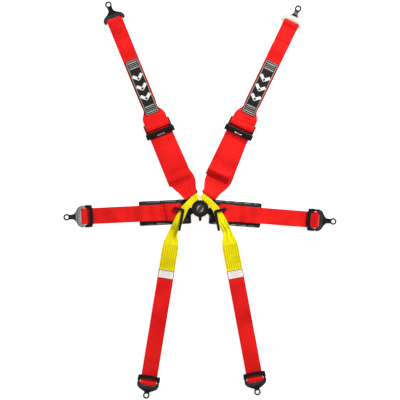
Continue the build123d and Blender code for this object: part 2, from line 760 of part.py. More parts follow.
# ---------------------------------------------------------------- leg belts
layer_low = tongue_low - 0.6 - web
layer_high = tongue_top + 0.5 + web
bundle_top = bundle_low + bundle_t
yellow_top = strap_high + double_web
lean = radians(loop_lean)
first_long = loop_fold_from + loop_knee_from
for side in SIDES:
    mirror_x = OUT[side]
    foot = (mirror_x * loop_reach * cos(lean), loop_reach * sin(lean))
    along = (-mirror_x * sin(lean), cos(lean))
    fold_end = (foot[0] + loop_fold_from * along[0], foot[1] + loop_fold_from * along[1])
    knee = (foot[0] - loop_knee_from * along[0], foot[1] - loop_knee_from * along[1])
    cross = (mirror_x * hook_cross[0], hook_cross[1])
    hinge = leg_fold[side]
    first = lie(fold_end, heading_between(fold_end, knee))
    second = lie(knee, heading_between(knee, cross))
    third = lie(cross, heading_between(cross, hinge))
    leg = lie(hinge, heading_between(hinge, leg_hole[side]))
    second_long = hypot(cross[0] - knee[0], cross[1] - knee[1])
    third_long = hypot(hinge[0] - cross[0], hinge[1] - cross[1])
    with BuildPart() as loop_top:
        add(side_shape(first, [
            (0, layer_low), (31, layer_low), (40, 12.9), (49.5, bundle_low), (first_long, bundle_low),
            (first_long, bundle_top), (49.5, bundle_top), (40, 15.9), (35, layer_high), (0, layer_high),
        ], loop_band_half))
        add(side_shape(first, [
            (web, layer_low + web), (30.3, layer_low + web), (37.5, layer_high - web),
            (web, layer_high - web),
        ], loop_band_half + 5), mode=Mode.SUBTRACT)
        with BuildSketch(first.offset(layer_low + web)):
            with Locations((0, mirror_x * 9)):
                Rectangle(6, 14)
        extrude(amount=layer_high - layer_low - double_web, mode=Mode.SUBTRACT)
        with BuildSketch(shoulder_tongue_place[side].offset(layer_low - 1)):
            with Locations((bar_middle - loop_outer - 0.6 + 10, 0)):
                Rectangle(20, 70)
        extrude(amount=layer_high - layer_low + 2, mode=Mode.SUBTRACT)
        with BuildSketch(second.offset(bundle_low)):
            with BuildLine():
                half_outline = Polyline(
                    (0, 0), (0, loop_band_half), (second_long, loop_foot_half), (second_long, 0),
                )
                mirror(half_outline, about=Plane.XZ)
            make_face()
            Circle(loop_band_half)
            with Locations((second_long, 0)):
                Circle(loop_foot_half)
        extrude(amount=bundle_t)
        add(side_shape(third, [
            (0, bundle_low), (12, bundle_low), (27, 8), (third_long - 5, strap_low),
            (third_long + 4, strap_low), (third_long + 4, strap_high),
            (third_long - 4.5, strap_high), (28, 10.8), (13, bundle_top), (0, bundle_top),
        ], loop_foot_half))
        # The end is cut square to the leg, so that the fold's two sides part evenly
        with BuildSketch(leg.offset(-1)):
            with Locations((15 - fold_gap, 0)):
                Rectangle(30, 60)
        extrude(amount=12, mode=Mode.SUBTRACT)
    save(loop_top.part, f"{side}_leg_loop_top")

    leg_long = hypot(leg_hole[side][0] - hinge[0], leg_hole[side][1] - hinge[1])
    with BuildPart() as loop_lower:
        add(side_shape(leg, [
            (fold_gap, strap_low), (overlap_from - 6, strap_low), (overlap_from, strap_high),
            (yellow_long, strap_high), (yellow_long, yellow_top), (overlap_from - 1, yellow_top),
            (overlap_from - 7, strap_high), (fold_gap, strap_high),
        ], narrow))
        with BuildSketch(leg.offset(-1)):
            with BuildLine():
                half_outline = Polyline(
                    (0, 0), (0, loop_foot_half), (20, 18), (overlap_from, narrow),
                    (yellow_long, narrow), (yellow_long, 0),
                )
                mirror(half_outline, about=Plane.XZ)
            make_face()
        extrude(amount=30, mode=Mode.INTERSECT)
    save(loop_lower.part, f"{side}_leg_loop_lower")

    anchor = lie(leg_hole[side], heading_between(leg_hole[side], hinge))
    red = make_anchor_loop(anchor, leg_long - overlap_from - 0.5, False, short_anchor)
    save(red, f"{side}_leg_webbing")

    care_long, care_wide, care_thick = care_label_size
    with BuildPart() as care_label:
        with BuildSketch(leg.offset(strap_high)):
            with Locations((yellow_long + 0.5 + care_long / 2, 0)):
                RectangleRounded(care_long, care_wide, 1)
        extrude(amount=care_thick)
    save(care_label.part, f"{side}_leg_care_label")

    save(make_slide(anchor, short_anchor), f"{side}_leg_slide")
    save(make_bracket(anchor, short_anchor), f"{side}_leg_bracket")
    save(make_liner(anchor, False, short_anchor), f"{side}_leg_bracket_liner")
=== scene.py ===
# %% [markdown]
# # Six-point racing harness: webbing, pads and hardware round a fixed frame
# The frame holds every rigid part at its true place. This script gives the soft parts their shape
# and every part its finish. The frame's box is kept first.

# %% Load the frame
import json
import math

import bpy
import numpy as np
from mathutils import Matrix, Vector


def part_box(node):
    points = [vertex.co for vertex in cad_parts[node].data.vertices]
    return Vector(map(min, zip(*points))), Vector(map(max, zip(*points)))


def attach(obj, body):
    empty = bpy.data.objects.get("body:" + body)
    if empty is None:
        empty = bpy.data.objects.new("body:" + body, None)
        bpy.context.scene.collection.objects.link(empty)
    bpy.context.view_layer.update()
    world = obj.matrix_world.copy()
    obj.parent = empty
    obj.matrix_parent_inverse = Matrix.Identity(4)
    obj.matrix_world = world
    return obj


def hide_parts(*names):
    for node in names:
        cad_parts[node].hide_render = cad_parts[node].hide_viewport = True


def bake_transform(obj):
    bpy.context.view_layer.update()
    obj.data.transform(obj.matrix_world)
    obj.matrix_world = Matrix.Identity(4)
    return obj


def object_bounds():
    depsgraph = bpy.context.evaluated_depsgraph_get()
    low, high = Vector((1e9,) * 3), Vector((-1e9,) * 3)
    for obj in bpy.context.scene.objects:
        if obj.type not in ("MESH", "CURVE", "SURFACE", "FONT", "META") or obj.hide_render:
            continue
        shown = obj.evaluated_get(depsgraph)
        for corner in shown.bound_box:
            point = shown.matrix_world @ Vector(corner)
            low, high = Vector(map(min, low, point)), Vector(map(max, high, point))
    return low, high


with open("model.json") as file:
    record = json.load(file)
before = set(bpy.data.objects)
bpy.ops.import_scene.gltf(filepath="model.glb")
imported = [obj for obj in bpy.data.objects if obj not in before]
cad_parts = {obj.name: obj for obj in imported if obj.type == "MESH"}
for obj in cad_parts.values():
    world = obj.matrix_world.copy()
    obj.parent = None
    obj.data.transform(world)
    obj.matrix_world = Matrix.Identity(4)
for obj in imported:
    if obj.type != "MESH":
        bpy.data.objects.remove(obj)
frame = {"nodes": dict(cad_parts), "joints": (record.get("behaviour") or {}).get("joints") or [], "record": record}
cad_low, cad_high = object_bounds()
print("frame box", [round(x, 3) for x in cad_high - cad_low])

# %% [markdown]
# ## Where the belts lie
# Every belt is described along its own line: u runs outwards along the belt, v across it and z up, all
# in millimetres. The lines come from the frame's joints and bolt holes, so each belt meets its hardware.
# An anchor's webbing bar is 50 mm from its bolt, but 36 mm at the legs. All anchors share one set of
# shapes, measured from the bolt of a long anchor, so a leg line's end is put 14 mm past its bolt.

# %% Belt lines from the joints and mounts
MM = 0.001
SIDES = ("left", "right")
OUT = {"left": -1.0, "right": 1.0}
joints = {joint["name"]: joint for joint in frame["joints"]}
bolts = {mount["name"]: np.array(mount["pos_m"]) / MM for mount in frame["record"]["mounts"]}


class Line:
    """A belt's line on the floor: an origin in millimetres and the direction that u runs in."""

    def __init__(self, origin, along):
        self.origin = np.array([origin[0], origin[1], 0.0])
        self.along = np.array([along[0], along[1], 0.0]) / math.hypot(along[0], along[1])
        self.across = np.array([-self.along[1], self.along[0], 0.0])

    def at(self, u, v=0.0, z=0.0):
        return self.origin + u * self.along + v * self.across + np.array([0.0, 0.0, z])

    def local(self, point):
        offset = np.array([point[0], point[1], 0.0]) - self.origin
        return float(offset @ self.along), float(offset @ self.across)


PIN_U = -6.0
LAP_BOLT_U = 416.0
ANCHOR_B = 50.0
LEG_ANCHOR_B = 36.0
tongue_line, run_line, lap_line, leg_line, run_long, leg_long = {}, {}, {}, {}, {}, {}
for side in SIDES:
    tongue_line[side] = Line((0, 0), joints[f"{side}_shoulder_tongue_release"]["axis"])
    pull = np.array(joints[f"{side}_shoulder_length"]["axis"])
    pin = np.array(joints[f"{side}_adjuster_tilt"]["pos_m"]) / MM
    run_line[side] = Line(pin - PIN_U * pull, pull)
    run_long[side] = run_line[side].local(bolts[f"{side}_shoulder_bolt"])[0]
    lap_fold = np.array(joints[f"{side}_lap_fold"]["pos_m"]) / MM
    lap_way = bolts[f"{side}_lap_bolt"] - lap_fold
    lap_way[2] = 0.0
    lap_way = lap_way / np.linalg.norm(lap_way)
    lap_line[side] = Line(bolts[f"{side}_lap_bolt"] - LAP_BOLT_U * lap_way, lap_way)
    leg_fold = np.array(joints[f"{side}_leg_fold"]["pos_m"]) / MM
    leg_line[side] = Line(leg_fold, bolts[f"{side}_leg_bolt"] - leg_fold)
    leg_long[side] = leg_line[side].local(bolts[f"{side}_leg_bolt"])[0]
leg_end = {side: leg_long[side] + (ANCHOR_B - LEG_ANCHOR_B) for side in SIDES}
print("shoulder run", run_long, "leg", leg_long)

# %% [markdown]
# ## Camera
# The harness lies flat and is seen from straight above, with a long lens so that nothing leans.

# %% Camera
CAMERA_UP = 3.0
SENSOR = 36.0
FRAME_SHARE = 1.003
centre = (cad_low + cad_high) / 2
span = (cad_high.y - cad_low.y) * FRAME_SHARE
bpy.ops.object.select_all(action="DESELECT")
bpy.ops.object.camera_add(location=(centre.x, centre.y, CAMERA_UP), rotation=(0, 0, 0))
camera = bpy.context.object
camera.name = "camera"
camera.data.sensor_width = SENSOR
camera.data.lens = SENSOR * (CAMERA_UP - centre.z) / span
bpy.context.scene.camera = camera
print("lens", round(camera.data.lens, 1))

# %% [markdown]
# ## Studio
# A pale floor that glows a little, and three large soft lights. Large lights keep shadows pale, and the
# key sits towards the upper right, so raised edges catch a thin line of light.

# %% Floor and lights
FLOOR_SIZE = 8.0
FLOOR_GREY = (0.7, 0.7, 0.7, 1)
FLOOR_GLOW = 0.72
WHITE = (1, 1, 1, 1)
SKY = 0.3


def soft_light(name, place, power, size):
    bpy.ops.object.light_add(type="AREA", location=place)
    light = bpy.context.object
    light.name = name
    light.data.energy = power
    light.data.size = size
    aim = Vector((centre.x, centre.y, 0)) - Vector(place)
    light.rotation_euler = aim.to_track_quat("-Z", "Y").to_euler()
    return light


bpy.ops.mesh.primitive_plane_add(size=FLOOR_SIZE, location=(0, 0, 0))
floor = bpy.context.object
floor.name = "floor"
floor_paint = bpy.data.materials.new("floor_paint")
floor_paint.use_nodes = True
floor_shader = floor_paint.node_tree.nodes["Principled BSDF"]
floor_shader.inputs["Base Color"].default_value = FLOOR_GREY
floor_shader.inputs["Roughness"].default_value = 0.9
floor_shader.inputs["Specular IOR Level"].default_value = 0.1
floor_shader.inputs["Emission Color"].default_value = WHITE
floor_shader.inputs["Emission Strength"].default_value = FLOOR_GLOW
floor.data.materials.append(floor_paint)
soft_light("key_light", (1.5, 1.9, 1.7), 118, 0.8)
soft_light("fill_light", (-2.0, 0.3, 1.6), 11, 1.6)
soft_light("front_light", (0.4, -2.3, 1.7), 8, 1.6)
world = bpy.data.worlds.new("studio")
bpy.context.scene.world = world
world.use_nodes = True
world.node_tree.nodes["Background"].inputs["Color"].default_value = WHITE
world.node_tree.nodes["Background"].inputs["Strength"].default_value = SKY
bpy.context.scene.view_settings.view_transform = "Standard"

# %% [markdown]
# ## Plain finishes
# Hardware is coated steel and moulded plastic. Fine noise in the roughness and a faint bump stop the
# surfaces from looking computer-clean. Uniform numbers sit on the shader's own sockets.

# %% Helpers for materials
def add_node(tree, kind, **values):
    node = tree.nodes.new(kind)
    for name, value in values.items():
        setattr(node, name, value)
    return node


def maths(tree, operation, first, second=None):
    node = add_node(tree, "ShaderNodeMath", operation=operation)
    for socket, value in zip(node.inputs, (first, second)):
        if value is None:
            continue
        if isinstance(value, (int, float)):
            socket.default_value = value
        else:
            tree.links.new(value, socket)
    return node.outputs[0]


def blend_colours(tree, factor, first, second):
    node = add_node(tree, "ShaderNodeMix", data_type="RGBA")
    tree.links.new(factor, node.inputs["Factor"])
    node.inputs["A"].default_value = (*first, 1)
    node.inputs["B"].default_value = (*second, 1)
    return node.outputs["Result"]


def noise(tree, coordinates, scale, detail=3.0):
    node = add_node(tree, "ShaderNodeTexNoise")
    node.inputs["Scale"].default_value = scale
    node.inputs["Detail"].default_value = detail
    tree.links.new(coordinates, node.inputs["Vector"])
    return node.outputs["Fac"]


def spread(tree, value, low, high, to_low, to_high):
    node = add_node(tree, "ShaderNodeMapRange")
    tree.links.new(value, node.inputs["Value"])
    for socket, number in zip(node.inputs[1:5], (low, high, to_low, to_high)):
        socket.default_value = number
    return node.outputs["Result"]


def bump(tree, height, shader, strength, distance):
    node = add_node(tree, "ShaderNodeBump")
    node.inputs["Strength"].default_value = strength
    node.inputs["Distance"].default_value = distance
    tree.links.new(height, node.inputs["Height"])
    tree.links.new(node.outputs["Normal"], shader.inputs["Normal"])


def new_finish(name, **sockets):
    material = bpy.data.materials.new(name)
    material.use_nodes = True
    shader = material.node_tree.nodes["Principled BSDF"]
    for socket, value in sockets.items():
        shader.inputs[socket.replace("_", " ")].default_value = value
    return material, material.node_tree, shader


print("noise, maths and bump helpers are ready")

# %% [markdown]
# ## Steel and plastic
# One function makes every hard finish, from two close colours and a roughness. An image texture could
# do it too, but noise needs no map and never repeats.

# %% Hard finishes
def hard_finish(name, worn, clean, rough, grain, metallic=0.0, coat=0.0):
    """Metal or plastic: two close colours, a little uneven gloss and a fine surface grain."""
    material, tree, shader = new_finish(name, Metallic=metallic, Coat_Weight=coat, Coat_Roughness=0.25)
    shader.inputs["Specular IOR Level"].default_value = 0.14
    place = add_node(tree, "ShaderNodeTexCoord").outputs["Object"]
    cloud = noise(tree, place, 38.0)
    tree.links.new(blend_colours(tree, cloud, worn, clean), shader.inputs["Base Color"])
    tree.links.new(spread(tree, cloud, 0.3, 0.7, rough - 0.06, rough + 0.08), shader.inputs["Roughness"])
    bump(tree, noise(tree, place, grain), shader, 0.12, 0.0002)
    return material


black_steel = hard_finish("black_coated_steel", (0.01, 0.01, 0.011), (0.005, 0.005, 0.006), 0.3, 900,
                          coat=0.1)
plain_steel = hard_finish("plain_steel", (0.46, 0.47, 0.48), (0.6, 0.6, 0.61), 0.3, 500, metallic=1.0)
black_plastic = hard_finish("black_plastic", (0.016, 0.012, 0.01), (0.008, 0.006, 0.005), 0.28, 700, coat=0.2)
badge_plastic = hard_finish("badge_plastic", (0.05, 0.046, 0.044), (0.03, 0.028, 0.027), 0.28, 800, coat=0.4)
mark_paint = hard_finish("mark_paint", (0.42, 0.41, 0.4), (0.5, 0.49, 0.48), 0.5, 800)
liner_pale = hard_finish("liner_pale", (0.5, 0.47, 0.42), (0.58, 0.55, 0.5), 0.55, 700)
liner_grey = hard_finish("liner_grey", (0.2, 0.19, 0.18), (0.26, 0.25, 0.24), 0.5, 700)
liner_black = hard_finish("liner_black", (0.02, 0.02, 0.02), (0.03, 0.03, 0.03), 0.5, 700)
print("hard finishes", [m.name for m in bpy.data.materials])

# %% [markdown]
# ## Webbing and cloth
# Harness webbing is a herringbone twill: yarns climb one way, then the other, in ribs along the belt.
# Each belt carries a flat map in metres, so the same pattern follows every bend and fold. The map's
# first number folds back and forth across a rib, and a sine along the belt makes the yarns.

# %% Webbing material
FLAT_MAP = "flat"
RIB = 3.1
YARN = 1.5


def webbing_finish(name, deep, bright):
    """Painted light and shade of the weave: the yarns' tops are painted bright and the gaps between them deep; a
    random fading of the dye lies over it.
    """
    material, tree, shader = new_finish(name, Roughness=0.66)
    shader.inputs["Specular IOR Level"].default_value = 0.1
    flat = add_node(tree, "ShaderNodeUVMap", uv_map=FLAT_MAP).outputs[0]
    parts = add_node(tree, "ShaderNodeSeparateXYZ")
    tree.links.new(flat, parts.inputs[0])
    across = maths(tree, "MULTIPLY", parts.outputs[0], 1 / MM)
    along = maths(tree, "MULTIPLY", parts.outputs[1], 1 / MM)
    zigzag = maths(tree, "PINGPONG", across, RIB)
    climb = maths(tree, "MULTIPLY", maths(tree, "ADD", along, zigzag), 2 * math.pi / YARN)
    yarn = maths(tree, "SINE", climb)
    rib = maths(tree, "COSINE", maths(tree, "MULTIPLY", across, math.pi / RIB))
    height = maths(tree, "ADD", yarn, maths(tree, "MULTIPLY", rib, 0.5))
    cloud = noise(tree, add_node(tree, "ShaderNodeTexCoord").outputs["Object"], 14.0)
    # The weave's height sets the colour: tops painted lighter, gaps painted darker, as painted light and shade.
    painted_weave_shading = spread(tree, height, -1.5, 1.5, 0.15, 0.6)
    fading = spread(tree, cloud, 0.35, 0.65, -0.05, 0.4)
    tone = maths(tree, "ADD", painted_weave_shading, fading)
    tree.links.new(blend_colours(tree, tone, deep, bright), shader.inputs["Base Color"])
    bump(tree, height, shader, 0.35, 0.0003)
    return material


red_webbing = webbing_finish("red_webbing", (0.50, 0.002, 0.002), (0.88, 0.013, 0.011))
yellow_webbing = webbing_finish("yellow_webbing", (0.66, 0.54, 0.001), (0.93, 0.83, 0.003))
print("webbing", red_webbing.name, yellow_webbing.name)

# %% [markdown]
# ## Cloth, thread and satin
# The pads, labels and threads are small and have no flat map. Small cells in the object's own
# coordinates stand for their knit, and their size sets how fine the cloth looks.

# %% Cloth materials
def cloth_finish(name, deep, bright, knit, rough=0.9):
    """Knitted or woven cloth with no flat map: small cells in the object's own coordinates."""
    material, tree, shader = new_finish(name, Roughness=rough)
    shader.inputs["Specular IOR Level"].default_value = 0.08
    place = add_node(tree, "ShaderNodeTexCoord").outputs["Object"]
    cells = add_node(tree, "ShaderNodeTexVoronoi")
    cells.inputs["Scale"].default_value = knit
    tree.links.new(place, cells.inputs["Vector"])
    cloud = maths(tree, "MULTIPLY", noise(tree, place, 25.0), 0.4)
    tone = maths(tree, "ADD", cells.outputs["Distance"], cloud)
    tree.links.new(blend_colours(tree, tone, deep, bright), shader.inputs["Base Color"])
    bump(tree, cells.outputs["Distance"], shader, 0.4, 0.0005)
    return material


pad_cloth = cloth_finish("pad_cloth", (0.010, 0.011, 0.012), (0.028, 0.030, 0.032), 420.0)
label_cloth = cloth_finish("label_cloth", (0.007, 0.007, 0.007), (0.020, 0.019, 0.018), 900.0, 0.75)
white_thread = cloth_finish("white_thread", (0.62, 0.61, 0.58), (0.85, 0.84, 0.8), 900.0, 0.75)
grey_thread = cloth_finish("grey_thread", (0.27, 0.26, 0.24), (0.42, 0.41, 0.38), 900.0, 0.75)
cream_satin = cloth_finish("cream_satin", (0.72, 0.69, 0.6), (0.86, 0.84, 0.78), 900.0, 0.5)
red_thread = cloth_finish("red_thread", (0.34, 0.004, 0.004), (0.52, 0.012, 0.01), 1200.0, 0.6)
yellow_thread = cloth_finish("yellow_thread", (0.24, 0.16, 0.001), (0.36, 0.26, 0.002), 1200.0, 0.6)
print("materials in all", len(bpy.data.materials))

# %% [markdown]
# ## Finishes on the frame's own parts
# The steel and plastic parts are already the right shape, so they stay and only get their finish.
# A part's name tells which finish it uses.

# %% Give each hard part its finish
def paint(piece, material):
    piece.data.materials.clear()
    piece.data.materials.append(material)


STEEL_PARTS = ("buckle_back_plate", "housing_screws", "centre_stud", "release_cam", "return_spring",
               "tongue_latches")
for name, node in frame["nodes"].items():
    if "webbing" in name or "loop" in name or "pad" in name or "label" in name:
        continue
    if "liner" in name:
        look = {"right_shoulder_bracket_liner": liner_pale, "left_lap_bracket_liner": liner_grey}
        paint(node, look.get(name, liner_black))
    elif name == "knob_badge":
        paint(node, badge_plastic)
    elif name in ("release_knob", "buckle_housing"):
        paint(node, black_plastic)
    elif any(part in name for part in STEEL_PARTS):
        paint(node, plain_steel)
    else:
        paint(node, black_steel)
print("parts kept", sum(1 for node in frame["nodes"].values() if node.data.materials))

# %% [markdown]
# ## The ribbon that every belt is made from
# A belt is a flat grid laid along a line of stations. Each station gives the left and right edge, a
# smooth curve runs through them, and rows are spaced along it, closer where it bends. Solidify gives the
# webbing its thickness and a small bevel rounds the selvage. The flat map keeps the uncut size.

# %% Even rows along a curve
WEB = 1.4
NARROW = 25.0
WIDE = 37.5
FINE = 0.5
BEND_SHARE = 2.2
BEND_MOST = 1.1
SMOOTH_OVER = 4


def smooth_through(keys, step):
    """Rows along a Catmull-Rom curve through the key rows (left and right edges), closer where it bends."""
    keys = np.array(keys, float)
    middle = (keys[:, :3] + keys[:, 3:6]) / 2
    gaps = np.maximum(np.linalg.norm(np.diff(middle, axis=0), axis=1), 1e-6)
    knots = np.concatenate([[0], np.cumsum(gaps)])
    slopes = np.zeros_like(keys)
    before, after = gaps[:-1, None], gaps[1:, None]
    slopes[1:-1] = ((keys[2:] - keys[1:-1]) / after * before
                    + (keys[1:-1] - keys[:-2]) / before * after) / (after + before)
    slopes[0] = (keys[1] - keys[0]) / gaps[0]
    slopes[-1] = (keys[-1] - keys[-2]) / gaps[-1]
    fine = np.linspace(0, knots[-1], int(knots[-1] / FINE) + 2)
    piece = np.clip(np.searchsorted(knots, fine, side="right") - 1, 0, len(gaps) - 1)
    size = gaps[piece]
    t = ((fine - knots[piece]) / size)[:, None]
    rows = ((2 * t**3 - 3 * t**2 + 1) * keys[piece] + (t**3 - 2 * t**2 + t) * slopes[piece] * size[:, None]
            + (3 * t**2 - 2 * t**3) * keys[piece + 1] + (t**3 - t**2) * slopes[piece + 1] * size[:, None])
    line = (rows[:, :3] + rows[:, 3:6]) / 2
    length = np.concatenate([[0], np.cumsum(np.linalg.norm(np.diff(line, axis=0), axis=1))])
    turn = np.linalg.norm(np.diff(line, 2, axis=0), axis=1)
    bend = np.concatenate([[0], turn, [0]]) / FINE**2
    density = 1 / step + np.minimum(bend * BEND_SHARE, BEND_MOST)
    window = 2 * SMOOTH_OVER + 1
    density = np.convolve(np.pad(density, SMOOTH_OVER, mode="edge"), np.ones(window) / window, mode="valid")
    amount = np.concatenate([[0], np.cumsum((density[1:] + density[:-1]) / 2 * np.diff(length))])
    wanted = np.linspace(0, amount[-1], int(amount[-1]) + 2)
    where = np.interp(wanted, amount, length)
    even = np.array([np.interp(where, length, rows[:, c]) for c in range(rows.shape[1])]).T
    return even, where


print("rows every", FINE, "mm before they are spaced")

# %% [markdown]
# ## A grid bent along the rows
# The grid is added with as many rows as the curve gave and is moved onto them. Both modifiers are applied
# at once, so the finished belt is a plain mesh. A curve with a flat section would twist at the folds.

# %% Ribbon helper
def ribbon(name, keys, material, flat_half, shape=None, across=12, step=5.0, thick=WEB, rounding=0.4):
    """A belt through the key rows. shape(t, points, half) may move the points; t is -1 to 1 across."""
    rows, where = smooth_through(keys, step)
    count = len(rows)
    bpy.ops.object.select_all(action="DESELECT")
    bpy.ops.mesh.primitive_grid_add(x_subdivisions=across, y_subdivisions=count - 1, size=2)
    belt = bpy.context.object
    belt.name = name
    belt.data.name = name
    grid = np.array([v.co for v in belt.data.vertices])
    row = np.rint((grid[:, 1] + 1) / 2 * (count - 1)).astype(int)
    t = grid[:, 0]
    left, right = rows[row, :3], rows[row, 3:6]
    points = (left + right) / 2 + (right - left) / 2 * t[:, None]
    if shape is not None:
        half = np.linalg.norm(right - left, axis=1) / 2
        points = shape(t, points, half)
    belt.data.vertices.foreach_set("co", (points * MM).ravel())
    belt.data.uv_layers[0].name = FLAT_MAP
    flat = np.stack([t * flat_half, where[row]], axis=1) * MM
    corner = np.zeros(len(belt.data.loops), int)
    belt.data.loops.foreach_get("vertex_index", corner)
    belt.data.uv_layers[0].data.foreach_set("uv", flat[corner].ravel())
    belt.data.update()
    solid = belt.modifiers.new("thickness", "SOLIDIFY")
    solid.thickness = thick * MM
    solid.offset = 0
    solid.use_even_offset = True
    bpy.ops.object.modifier_apply(modifier=solid.name)
    rim = belt.modifiers.new("selvage", "BEVEL")
    rim.width = rounding * MM
    rim.segments = 2
    rim.limit_method = "ANGLE"
    rim.angle_limit = math.radians(60)
    bpy.ops.object.modifier_apply(modifier=rim.name)
    bpy.ops.object.shade_smooth_by_angle(angle=math.radians(50))
    paint(belt, material)
    belt["flat_size"] = [2 * flat_half * MM, float(where[-1]) * MM]
    print(name, "length", round(float(where[-1]), 1), "faces", len(belt.data.polygons))
    return belt


def edge_row(line, u, left_v, right_v, z, lift=0.0):
    """A row from its left edge to its right; lift tilts it."""
    return [*line.at(u, left_v, z - lift), *line.at(u, right_v, z + lift)]


def even_row(line, u, half, z, lift=0.0):
    return edge_row(line, u, -half, half, z, lift)


def rows_at(line, half, places, lift=0.0):
    """Rows of one width at each (u, z)."""
    return [even_row(line, u, half, z, lift) for u, z in places]


def round_bar(line, bar_u, bar_z, radius, half, start, stop, steps=9):
    """Rows that wrap a bar: the angle is measured from u towards z, in degrees."""
    rows = []
    for angle in np.radians(np.linspace(start, stop, steps)):
        rows.append(even_row(line, bar_u + radius * math.cos(angle), half, bar_z + radius * math.sin(angle)))
    return rows


def ride_in(piece, body):
    """A piece moves with its body."""
    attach(piece, body)


print("belts are", WEB, "mm thick")

# %% [markdown]
# ## Sewn threads
# A row of stitches is one short six-sided rod copied along a line. It stands just proud of the cloth,
# so it catches light like real thread. All the stitches of one seam are one mesh.

# %% Stitch helper
def select_only(piece):
    bpy.ops.object.select_all(action="DESELECT")
    piece.select_set(True)
    bpy.context.view_layer.objects.active = piece


def one_stitch():
    """The corners and faces of one stitch, a millimetre long, lying along x."""
    bpy.ops.object.select_all(action="DESELECT")
    bpy.ops.mesh.primitive_cylinder_add(vertices=6, radius=0.5, depth=1.0, rotation=(0, math.pi / 2, 0))
    stitch = bpy.context.object
    bpy.ops.object.transform_apply(location=True, rotation=True, scale=True)
    corners = np.array([v.co for v in stitch.data.vertices])
    faces = [tuple(p.vertices) for p in stitch.data.polygons]
    bpy.data.objects.remove(stitch)
    return corners, faces


STITCH_CORNERS, STITCH_FACES = one_stitch()
print("stitch has", len(STITCH_FACES), "faces")

# %% [markdown]
# ## Seams
# Stitches are spread evenly along a path, and each is turned to follow it.

# %% Seam helpers
def seam(name, paths, material, long=3.0, gap=1.2, thread=0.75):
    """Stitches along each path of points in millimetres."""
    corners, faces = [], []
    for path in paths:
        path = np.array(path, float)
        length = np.concatenate([[0], np.cumsum(np.linalg.norm(np.diff(path, axis=0), axis=1))])
        count = max(1, int(length[-1] / (long + gap)))
        starts = (np.arange(count) + 0.5) * length[-1] / count
        for start in starts:
            first = np.array([np.interp(start - long / 2, length, path[:, c]) for c in range(3)])
            last = np.array([np.interp(start + long / 2, length, path[:, c]) for c in range(3)])
            along = (last - first) / max(np.linalg.norm(last - first), 1e-6)
            side = np.cross([0, 0, 1.0], along)
            side = side / max(np.linalg.norm(side), 1e-6)
            up = np.cross(along, side)
            turn = np.stack([along * np.linalg.norm(last - first), side * thread, up * thread * 0.8], axis=0)
            base = len(corners) * len(STITCH_CORNERS)
            corners.append(STITCH_CORNERS @ turn + (first + last) / 2)
            faces.extend(tuple(base + i for i in face) for face in STITCH_FACES)
    mesh = bpy.data.meshes.new(name)
    mesh.from_pydata((np.concatenate(corners) * MM).tolist(), [], faces)
    mesh.update()
    thread_piece = bpy.data.objects.new(name, mesh)
    bpy.context.scene.collection.objects.link(thread_piece)
    select_only(thread_piece)
    bpy.ops.object.shade_smooth_by_angle(angle=math.radians(40))
    paint(thread_piece, material)
    print(name, "stitches", len(corners))
    return thread_piece


def sew(name, paths, material, body, slot, **size):
    ride_in(seam(name, paths, material, **size), body)


def straight(line, u0, v0, u1, v1, z):
    """Points on a straight seam line, close enough for its stitches."""
    steps = np.linspace(0, 1, 12)[:, None]
    return line.at(u0, v0, z) * (1 - steps) + line.at(u1, v1, z) * steps


def box_stitch(line, u0, u1, half, z):
    """The sewn box with a cross that holds a belt's end."""
    return [straight(line, u0, -half, u1, -half, z), straight(line, u0, half, u1, half, z),
            straight(line, u0, -half, u0, half, z), straight(line, u1, -half, u1, half, z),
            straight(line, u0, -half, u1, half, z), straight(line, u0, half, u1, -half, z)]


print("a boxed seam has", len(box_stitch(Line((0, 0), (1, 0)), 0, 20, 20, 0)), "lines")

# %% [markdown]
# ## Flat blocks
# Labels, plates and printed marks are thin blocks with softened edges, each laid on its belt's line.

# %% Block helpers
def slab(line, u, v, z, long, wide, thick, turn=0.0, edge=0.25):
    """A thin bevelled block lying on a belt, its place in its mesh."""
    bpy.ops.object.select_all(action="DESELECT")
    bpy.ops.mesh.primitive_cube_add(size=1.0)
    block = bpy.context.object
    block.scale = (long, wide, thick)
    bpy.ops.object.transform_apply(location=True, rotation=True, scale=True)
    soft = block.modifiers.new("edge", "BEVEL")
    soft.width = edge
    soft.segments = 2
    bpy.ops.object.modifier_apply(modifier=soft.name)
    block.data.transform(Matrix.Rotation(turn, 4, "Z"))
    basis = Matrix([[*line.along, 0], [*line.across, 0], [0, 0, 1, 0], [0, 0, 0, 1]]).transposed()
    block.data.transform(basis)
    block.data.transform(Matrix.Translation(line.at(u, v, z + thick / 2)))
    block.data.transform(Matrix.Scale(MM, 4))
    return block


def joined(name, blocks, material):
    """Blocks made one piece with one finish."""
    bpy.ops.object.select_all(action="DESELECT")
    for block in blocks:
        block.select_set(True)
    bpy.context.view_layer.objects.active = blocks[0]
    if len(blocks) > 1:
        bpy.ops.object.join()
    whole = bpy.context.object
    whole.name = name
    whole.data.name = name
    paint(whole, material)
    print(name, "faces", len(whole.data.polygons))
    return whole


# %% [markdown]
# ## Waves and ranges
# A real belt is never quite flat. These two helpers say where a belt waves and how: one fades in and
# out again along the belt, the other is a smooth wave that only rises.

# %% Shape helpers
def between(place, first, last, ease):
    """1 between two places on a belt, fading to 0 over the ease at both ends."""
    return np.clip((place - first) / ease, 0, 1) * np.clip((last - place) / ease, 0, 1)


def swell_wave(place, pitch, phase=0.0):
    return 1 + np.sin(place * 2 * math.pi / pitch + phase)


print("a wave rises to", swell_wave(0.25, 1.0))

# %% [markdown]
# ## Shoulder belts below the adjuster
# The wide belt is gathered into the tongue: it folds round the tongue's bar, drops to the floor and
# opens out to its full 75 mm. The spare width stands up in pleats, which fade where the belt is flat.
# The tongue and the belt above it lie at an angle, so the rows in between are blended from one line to
# the other.

